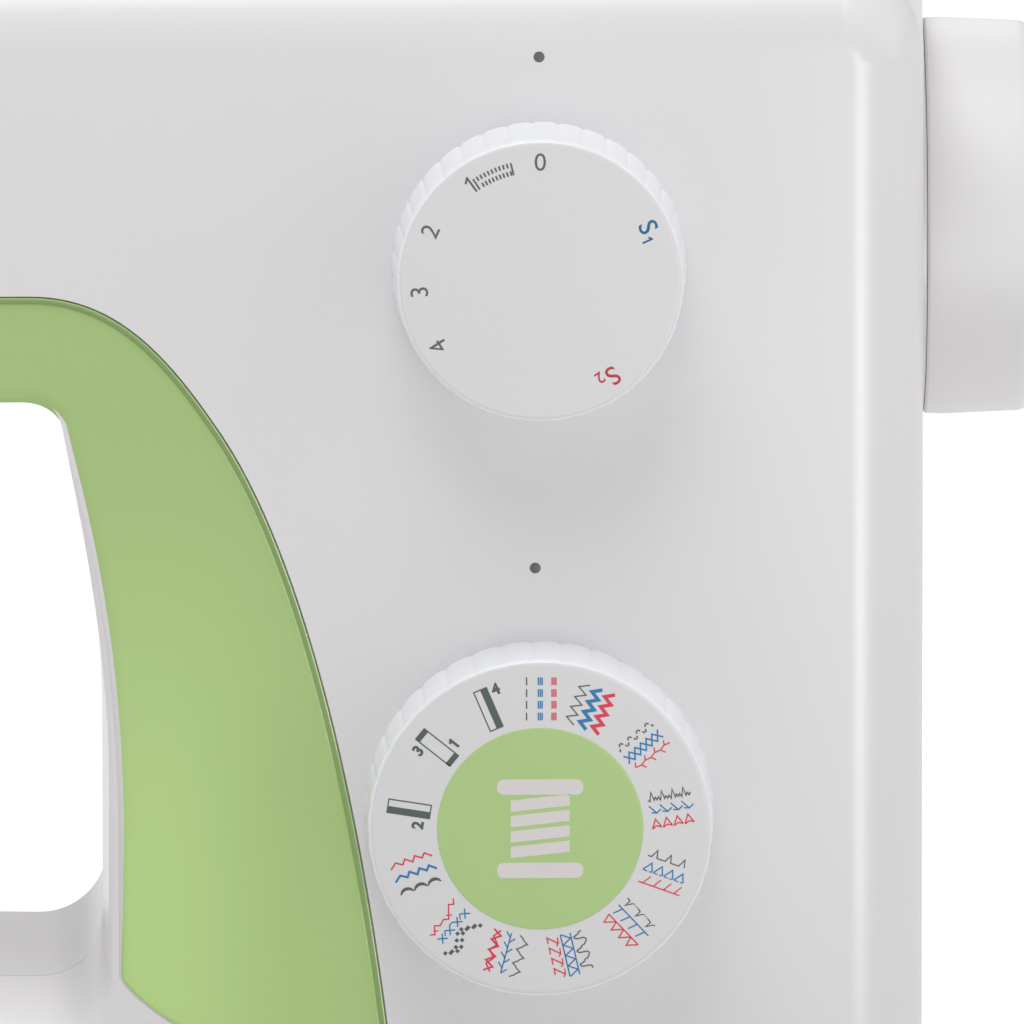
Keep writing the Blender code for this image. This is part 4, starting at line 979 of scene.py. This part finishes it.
def scallop_rows(ink):
    for k in range(3):
        a = -HALF + 1.4 + 2.76 * k
        b = -ROW - 0.75
        ink.fill(arc((a, b), 1.42, 10.0, 170.0, 12) + arc((a, b - 0.72), 1.5, 140.0, 40.0, 12), GREY)
    wave = [(-HALF, -0.5), (-2.9, 0.6), (-2.2, -0.2), (-1.0, 0.7), (-0.3, -0.3)]
    wave += [(1.0, 0.7), (1.7, -0.2), (2.9, 0.6), (HALF, -0.4)]
    row(ink, BLUE, 0.42, wave)
    row(ink, RED, 0.3, wave)


def buttonhole_frame(ink, end=4.2, side=1.3, width=0.24):
    """Long rectangle drawn as two sides and two ends."""
    inner = end - 0.5 * width
    for across in (-side, side):
        ink.line([(-end, across), (end, across)], width, GREY)
    for along in (-inner, inner):
        ink.line([(along, -side), (along, side)], width, GREY)


def buttonhole_two(ink):
    buttonhole_frame(ink)
    ink.fill([(-4.2, -1.4), (4.2, -1.4), (4.2, -0.05), (-4.2, -0.05)], GREY)
    ink.text("2", 2.1, -2.2, -2.9, GREY, 0.12)


def buttonhole_three_one(ink):
    buttonhole_frame(ink)
    ink.fill([(3.2, -1.4), (4.3, -1.4), (4.3, 1.4), (3.2, 1.4)], GREY)
    ink.fill([(-4.3, -1.4), (-3.2, -1.4), (-3.2, 1.4), (-4.3, 1.4)], GREY)
    ink.text("3", 2.1, 2.3, -2.75, GREY, 0.12)
    ink.one(2.3, -2.0, 2.7, 0.5, GREY)


def buttonhole_four(ink):
    buttonhole_frame(ink)
    ink.fill([(-4.2, 0.0), (4.2, 0.0), (4.2, 1.4), (-4.2, 1.4)], GREY)
    ink.text("4", 2.1, 3.0, 2.8, GREY, 0.12)


PATTERN_PLACES = (
    (0.0, straight_rows), (22.0, zigzag_rows), (51.0, lattice_rows), (81.0, spike_rows),
    (110.0, blind_rows), (137.0, comb_rows), (167.0, truss_rows), (195.0, feather_rows),
    (221.0, check_rows), (250.0, scallop_rows), (279.0, buttonhole_two),
    (309.0, buttonhole_three_one), (337.0, buttonhole_four),
)


def build_length_dial():
    centre = (DIAL_X, LENGTH_DIAL_Z)
    front = LENGTH_DIAL_FRONT
    profile = dial_profile(FRONT, LENGTH_DIAL_R, LENGTH_FACE_R, front, DIAL_RIM, FLUTE_DEPTH)
    knob("stitch_length_knob", profile, centre, 720, FLUTES, "stitch_length_dial")
    ink = Print(centre, front)
    for angle, digit in ((0.0, "0"), (-65.0, "2"), (-95.0, "3"), (-123.0, "4")):
        ink.spot(angle, DIGIT_R)
        ink.text(digit, 3.4, 0.0, 0.0, GREY)
    ink.spot(-35.5, DIGIT_R)
    ink.one(3.4, 0.0, 0.3, 0.4, GREY)
    ink.spot(65.0, STRETCH_MARK_R)
    ink.text("S", 3.6, 0.1, -0.8, BLUE, 0.03)
    ink.one(2.1, -0.9, 1.6, 0.36, BLUE)
    ink.spot(145.0, STRETCH_MARK_R)
    ink.text("S", 3.6, 0.1, -0.8, RED, 0.03)
    ink.text("2", 2.2, -0.9, 1.45, RED, 0.03)
    buttonhole_ticks(ink)
    ink.finish("stitch_length_marks", "stitch_length_dial", [INK_DARK, INK_NAVY, INK_CRIMSON])


def buttonhole_ticks(ink):
    """Row of short double ticks between two long ones: the buttonhole range."""
    last = 10
    for k in range(last + 1):
        ink.spot(-32.8 + 1.9 * k, TICK_R)
        if k in (0, last):
            ink.line([(-1.2, 0.0), (1.2, 0.0)], 0.36, GREY)
        else:
            ink.line([(0.35, 0.0), (1.25, 0.0)], 0.36, GREY)
            ink.line([(-1.2, 0.3), (-0.3, 0.3)], 0.36, GREY)


def build_pattern_dial():
    centre = (DIAL_X, PATTERN_DIAL_Z)
    face = PATTERN_DIAL_FRONT
    profile = dial_profile(FRONT, PATTERN_DIAL_R, PATTERN_FACE_R, face, DIAL_RIM, FLUTE_DEPTH)
    knob("pattern_knob", profile, centre, 720, FLUTES, "pattern_dial")
    cap = [(0.0, face + 0.5), (CAP_R, face + 0.5), (CAP_R, face - 0.02), (CAP_R - 0.08, face - 0.09)]
    cap += [(CAP_R - 0.25, face - CAP_HEIGHT), (0.0, face - CAP_HEIGHT)]
    bm = lathe(cap, "Y", centre, 128)
    piece("pattern_knob_cap", bm, GREEN_CAP, "pattern_dial", ["pattern_dial_cap"])
    ink = Print(centre, face)
    for angle, draw in PATTERN_PLACES:
        ink.spot(angle, PATTERN_MARK_R)
        draw(ink)
    ink.finish("pattern_marks", "pattern_dial", [INK_GREY, INK_BLUE, INK_RED])
    build_spool_motif(centre, face - CAP_HEIGHT)


def build_spool_motif(centre, front):
    """Reel of thread on the green cap."""
    ink = Print(centre, front)
    ink.spot(0.0, 0.0)
    half = 8.2
    for low, high in ((6.6, 9.6), (-9.6, -6.6)):
        ink.fill([(b, a) for a, b in rounded_rectangle(-half, half, low, high, 1.3, 6)], 0)
    for k in range(4):
        low = -5.7 + 3.0 * k
        ink.fill([(low, -5.6), (low + 1.2, 5.6), (low + 3.4, 5.6), (low + 2.2, -5.6)], 0)
    ink.finish("cap_motif", "pattern_dial", EMBLEM)


def build_tension_dial():
    front = TENSION_FRONT
    profile = dial_profile(FRONT, TENSION_DIAL_R, TENSION_FACE_R, front, 0.9, 0.25)
    knob("tension_knob", profile, TENSION, 480, TENSION_FLUTES, "tension_dial")
    ink = Print(TENSION, front)
    for k in range(10):
        ink.spot(-162.0 + 36.0 * k, TENSION_DIGIT_R)
        ink.text(str(k), 2.3, 0.0, 0.0, GREY)
    ink.finish("tension_marks", "tension_dial", [INK_DARK])


def build_handwheel():
    """Dished wheel on the main shaft, and the ring it runs against."""
    end = WHEEL_RIGHT
    profile = [(0.0, end - 2.4), (20.0, end - 2.4), (24.0, end - 1.6), (27.0, end - 0.4), (29.5, end)]
    profile.append((WHEEL_R - 0.6 - WHEEL_ROUND, end))
    for inset, back in quarter_turn(8, 1):
        profile.append((WHEEL_R - 0.6 - WHEEL_ROUND * back, end - WHEEL_ROUND * inset))
    inner = BODY_RIGHT + 0.15
    profile += [(WHEEL_R, WHEEL_LEFT + 3.0), (WHEEL_R - 0.1, inner + 0.5), (WHEEL_R - 0.5, inner)]
    profile += [(4.3, inner), (4.3, end - 8.0), (0.0, end - 8.0)]
    bm = lathe(profile, "X", (0.0, SHAFT_Z), 160)
    low = BODY_RIGHT - 2.0
    high = BODY_RIGHT + 0.05
    ring = [(12.4, low), (WHEEL_R - 0.4, low), (WHEEL_R - 0.4, BODY_RIGHT - 0.2)]
    ring += [(WHEEL_R - 0.7, high), (12.4, high)]
    ring_bm = lathe(ring, "X", (0.0, SHAFT_Z), 160, closed=True)
    piece("handwheel_seat", ring_bm, WHITE, "machine")
    piece("handwheel_rim", bm, WHEEL_WHITE, "main_shaft", ["handwheel"], sharp=30.0)


# ---- base, bed, table

def build_base():
    """Tray under the machine and its four feet."""
    outline = rounded_rectangle(FACE_LEFT, BODY_RIGHT - 0.5, FRONT + 0.5, REAR - 0.5, 14.0, 16)
    hollow = rounded_rectangle(FACE_LEFT + 3.0, BODY_RIGHT - 3.5, FRONT + 3.5, REAR - 3.5, 11.0, 16)
    moulded("base_tray", prism(outline, "Z", 5.0, 20.0), [prism(hollow, "Z", 4.0, 17.0)], bevel=0.9)
    profile = [(0.0, 0.6), (5.0, 0.6), (5.4, 0.0), (7.6, 0.0), (8.6, 0.5), (9.0, 1.6), (9.0, 6.0)]
    profile += [(8.4, 6.6), (8.4, 7.6), (9.0, 8.2), (9.0, 16.7), (0.0, 16.7)]
    places = [(x, y) for x in (FACE_LEFT + 22.0, BODY_RIGHT - 24.0) for y in (FRONT + 22.0, REAR - 22.0)]
    for number, centre in enumerate(places, 1):
        name = f"rubber_foot_{number}"
        bm = lathe(profile, "Z", centre, 48)
        piece(name + "_skin", bm, RUBBER, "machine", [name])


def build_free_arm():
    """Free arm with the seat of the needle plate, and the door over the bobbin."""
    outline = rounded_rectangle(ARM_LEFT, BED_LEFT - GAP, ARM_FRONT, ARM_REAR, 5.0, 10)
    arm = raw_object("free_arm_skin", prism(outline, "Z", ARM_BOTTOM, BED_TOP), [WHITE])
    inside = (ARM_LEFT + WALL, BED_LEFT + 5.0, ARM_FRONT + WALL, ARM_REAR - WALL)
    hollow = box(*inside, ARM_BOTTOM + WALL, BED_TOP - 2.6)
    plate_seat = box(-174.3, -111.7, -22.3, 42.3, BED_TOP - 4.0, BED_TOP + 2.0)
    doorway = box(-172.0, -118.0, ARM_FRONT - 2.0, ARM_FRONT + 4.0, 44.9, 67.4)
    cut(arm, hollow, plate_seat, doorway)
    mount(arm, "machine", ["free_arm_cover"], bevel=0.7)
    door = rounded_rectangle(-174.0, -116.0, 44.4, 68.6, 3.0, 8)
    door = prism(door, "Y", ARM_FRONT - 2.4, ARM_FRONT - 0.3)
    grip = rounded_rectangle(-152.0, -138.0, 61.5, 65.5, 1.9, 8)
    grip = prism(grip, "Y", ARM_FRONT - 3.0, ARM_FRONT - 1.4)
    moulded("bobbin_door", door, [grip], "bobbin_door", 0.5)


def build_table():
    """Slide-off table: a block round the free arm, hollow in front of it and behind it."""
    outline = rounded_rectangle(FACE_LEFT, BED_LEFT - 0.5, FRONT, REAR, 6.0, 10)
    holes = [box(ARM_LEFT - 0.6, 5.0, ARM_FRONT - 3.0, ARM_REAR + 0.6, 0.0, 100.0)]
    for y0, y1 in ((FRONT + WALL, ARM_FRONT), (ARM_REAR - 2.0, REAR - WALL)):
        holes.append(box(FACE_LEFT + 2.6, BED_LEFT - 3.0, y0, y1, TABLE_FLOOR, TABLE_TOP - WALL))
    block = prism(outline, "Z", COVER_BOTTOM, TABLE_TOP)
    moulded("extension_table", block, holes, "extension_table", 1.1)


def build_needle_plate_marks():
    """Engraved seam guide lines on the needle plate."""
    bm = bmesh.new()
    for k in range(6):
        x = -131.0 + 3.2 * k
        length = 11.0 if k % 2 == 0 else 7.0
        for y0 in (-20.0, 40.0 - length):
            outline = [(x, y0), (x + 0.35, y0), (x + 0.35, y0 + length), (x, y0 + length)]
            prism(outline, "Z", BED_TOP - 0.05, BED_TOP + 0.01, bm)
    piece("needle_plate_guides", bm, INK_DARK, "machine")


# ---- top and ends

def build_handle():
    """Folded carrying handle, turning on the pins of the rear cover."""
    corner_y = HANDLE_Y + 24.0
    outer = [(HANDLE_LEFT, HANDLE_Y), (HANDLE_RIGHT, HANDLE_Y)]
    outer += arc((HANDLE_RIGHT - 9.0, corner_y), 9.0, 0.0, 90.0, 12)
    outer += arc((HANDLE_LEFT + 9.0, corner_y), 9.0, 90.0, 180.0, 12)
    handle = raw_object("carry_handle_skin", prism(outer, "Z", TOP + 1.0, TOP + 11.0), [WHITE])
    join(handle, rod("X", (HANDLE_Y, TOP + 6.0), 5.0, HANDLE_LEFT, HANDLE_RIGHT))
    inner = (HANDLE_LEFT + HANDLE_ARM, HANDLE_RIGHT - HANDLE_ARM)
    gap = rounded_rectangle(*inner, HANDLE_Y - 13.0, HANDLE_Y + 21.0, 5.0, 12)
    cut(handle, prism(gap, "Z", TOP - 1.0, TOP + 14.0))
    for x in inner:
        cut(handle, rod("X", (HANDLE_Y, TOP + 6.0), 2.4, x - 6.0, x + 6.0, 24))
    mount(handle, "carry_handle", ["carry_handle"], bevel=1.4)


def build_top_pins():
    """Bobbin winder spindle and spool pin; heights are above the top cover."""
    winder = [(0.0, 0.6), (2.1, 0.6), (2.1, 2.9), (5.8, 2.9), (6.0, 3.2), (6.0, 4.2), (5.7, 4.5)]
    winder += [(3.0, 4.5), (3.0, 14.4), (2.8, 15.6), (2.2, 16.7), (1.2, 17.0), (0.0, 17.0)]
    bm = lathe([(r, TOP + z) for r, z in winder], "Z", WINDER_CENTRE, 48)
    piece("winder_spindle_skin", bm, POLISHED, "winder_spindle", ["winder_spindle"])
    spool = [(0.0, -50.0), (4.5, -50.0), (4.5, -47.0), (3.0, -47.0), (3.0, 12.0)]
    spool += [(2.7, 12.8), (2.0, 13.4), (1.2, 13.5), (0.0, 13.5)]
    bm = lathe([(r, TOP + z) for r, z in spool], "Z", SPOOL_CENTRE, 48)
    piece("spool_pin_skin", bm, SOFT_WHITE, "spool_pin", ["spool_pin"])


def build_lamp():
    """Glass bulb with a narrow neck, pointing down over the needle."""
    profile = [(0.0, 160.0), (2.2, 160.4), (4.0, 161.5), (5.4, 163.2), (6.0, 165.6), (6.0, 171.0)]
    profile += [(5.4, 173.8), (4.0, 176.0), (4.0, 182.0), (0.0, 182.0)]
    bm = lathe(profile, "Z", LAMP_CENTRE, 48)
    piece("lamp_bulb_glass", bm, CLEAR, "machine", ["lamp_bulb"])


def build_spring():
    """Coil spring round the presser bar, standing for its plain CAD tube."""
    turns, wire, radius = 9, 0.75, 5.2
    low = SPRING_LOW + wire
    length = SPRING_HIGH - wire - low
    steps = turns * 20
    sides = 8
    bm = bmesh.new()
    loops = []
    for k in range(steps + 1):
        t = k / steps
        angle = 2.0 * math.pi * turns * t
        out = Vector((math.cos(angle), math.sin(angle), 0.0))
        middle = Vector((*PRESSER_CENTRE, low + length * t)) + out * radius
        loop = []
        for side in range(sides):
            roll = 2.0 * math.pi * side / sides
            rise = Vector((0.0, 0.0, wire * math.sin(roll)))
            loop.append(bm.verts.new(middle + out * wire * math.cos(roll) + rise))
        loops.append(loop)
    bridge(bm, loops)
    bm.faces.new(loops[0])
    bm.faces.new(loops[-1])
    spring = piece("presser_spring_coil", bm, POLISHED, "presser_bar", ["presser_spring"])
    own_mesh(spring)


# ---- nodes kept from the CAD

POLISHED_NODES = (
    "needle", "needle_bar", "presser_foot", "presser_lifter", "take_up_lever", "thread_guide",
    "clamp_screw",
)
BEVELS = {
    0.12: "feed_dog",
    0.2: "frame_casting",
    0.25: "needle_plate presser_foot",
    0.3: "thread_guide bobbin_case shaft_pulley main_bush_left main_bush_right",
    0.4: "needle_clamp clamp_screw take_up_lever shuttle_hook hook_race",
    0.5: "power_switch power_socket winder_carriage feed_bar needle_bar_frame motor_bracket",
    0.6: "crank_link needle_crank motor",
    0.8: "presser_lifter",
    0.9: "reverse_lever",
}


def dress_nodes():
    """Materials and eased edges for the CAD nodes that stay in view."""
    slots = {part["node"]: part["material_slot"] for part in frame["record"]["subparts"]}
    bevels = {name: width for width, names in BEVELS.items() for name in names.split()}
    for name, obj in sorted(frame["nodes"].items()):
        look = POLISHED if name in POLISHED_NODES else SLOT_LOOKS[slots[name]]
        obj.data.materials.clear()
        obj.data.materials.append(look)
        if obj.hide_render:
            continue
        weld = obj.modifiers.new("weld", "WELD")
        weld.merge_threshold = 1e-6
        soften(obj, bevels.get(name, 0.0), 30.0, 2)


# ---- studio

def aim(obj, target):
    """Turn a light or the camera towards a point."""
    direction = Vector(target) - obj.location
    obj.rotation_mode = "QUATERNION"
    obj.rotation_quaternion = direction.to_track_quat("-Z", "Y")


def area_light(name, location, target, width, height, watts, color=(1.0, 1.0, 1.0)):
    light = bpy.data.lights.new(name, "AREA")
    light.shape = "RECTANGLE"
    light.size = width
    light.size_y = height
    light.energy = watts
    light.color = color
    obj = add_object(name, light)
    obj.location = location
    aim(obj, target)
    obj.visible_camera = False
    return obj


def build_studio():
    """White surroundings, a soft box overhead, a strip for the right edge, and two fills."""
    world = bpy.data.worlds.new("studio")
    bpy.context.scene.world = world
    world.use_nodes = True
    sky = world.node_tree.nodes["Background"]
    sky.inputs["Color"].default_value = (1.0, 1.0, 1.0, 1.0)
    sky.inputs["Strength"].default_value = 0.47
    centre = (0.1, -0.06, 0.18)
    cool = (0.985, 0.992, 1.0)
    area_light("overhead_softbox", (-0.10, -0.51, 1.60), centre, 0.85, 0.85, 11.3, cool)
    edge = (0.160, -0.05, 0.122)
    strip = area_light("strip_light", (0.232, -0.394, 0.122), edge, 0.065, 0.22, 0.58)
    strip.visible_diffuse = False
    area_light("side_fill", (1.5, -0.5, 0.55), (0.17, 0.0, 0.2), 0.9, 0.9, 2.6)
    area_light("back_fill", (-0.2, 1.05, 0.80), (-0.03, 0.0, 0.09), 0.9, 0.5, 4.5)


def build_floor():
    """Pale floor that glows a little more away from the machine: a painted shadow round the machine."""
    bm = bmesh.new()
    size = FLOOR_HALF
    corners = [(-size, -size), (size, -size), (size, size), (-size, size)]
    bm.faces.new([bm.verts.new((x, y, 0.0)) for x, y in corners])
    look = surface("pale_floor", (0.30, 0.30, 0.30), 0.8, 3.0, 0.002, 0.004)
    tree = look.node_tree
    link = tree.links.new
    shader = tree.nodes["Principled BSDF"]
    shader.inputs["Emission Color"].default_value = (1.0, 1.0, 1.0, 1.0)
    where = add_node(tree, "NewGeometry")
    reach = add_node(tree, "VectorMath")
    reach.operation = "DISTANCE"
    reach.inputs[1].default_value = (0.06, -0.34, 0.0)
    link(where.outputs["Position"], reach.inputs[0])
    # Painted shadow: the floor glows less within about 0.6 m of the machine.
    painted_shadow_glow = eased(tree, reach.outputs["Value"], 0.10, 0.62, 0.42, 0.80)
    link(painted_shadow_glow, shader.inputs["Emission Strength"])
    raw_object("floor", bm, [look], recalc=False)


def build_camera():
    """Long lens from the front, a little above the dials."""
    data = bpy.data.cameras.new("camera")
    data.lens = CAMERA_LENS
    data.sensor_width = 36.0
    data.clip_start = 0.1
    data.clip_end = 200.0
    camera = add_object("camera", data)
    camera.location = CAMERA_PLACE
    aim(camera, CAMERA_TARGET)
    bpy.context.scene.camera = camera
    view = bpy.context.scene.view_settings
    view.view_transform = "Standard"
    view.look = "None"


build_camera()
build_studio()
build_floor()
build_covers()
build_insert()
build_face_cover()
build_dots()
build_length_dial()
build_pattern_dial()
build_tension_dial()
build_handwheel()
build_base()
build_free_arm()
build_table()
build_needle_plate_marks()
build_handle()
build_top_pins()
build_lamp()
build_spring()
dress_nodes()
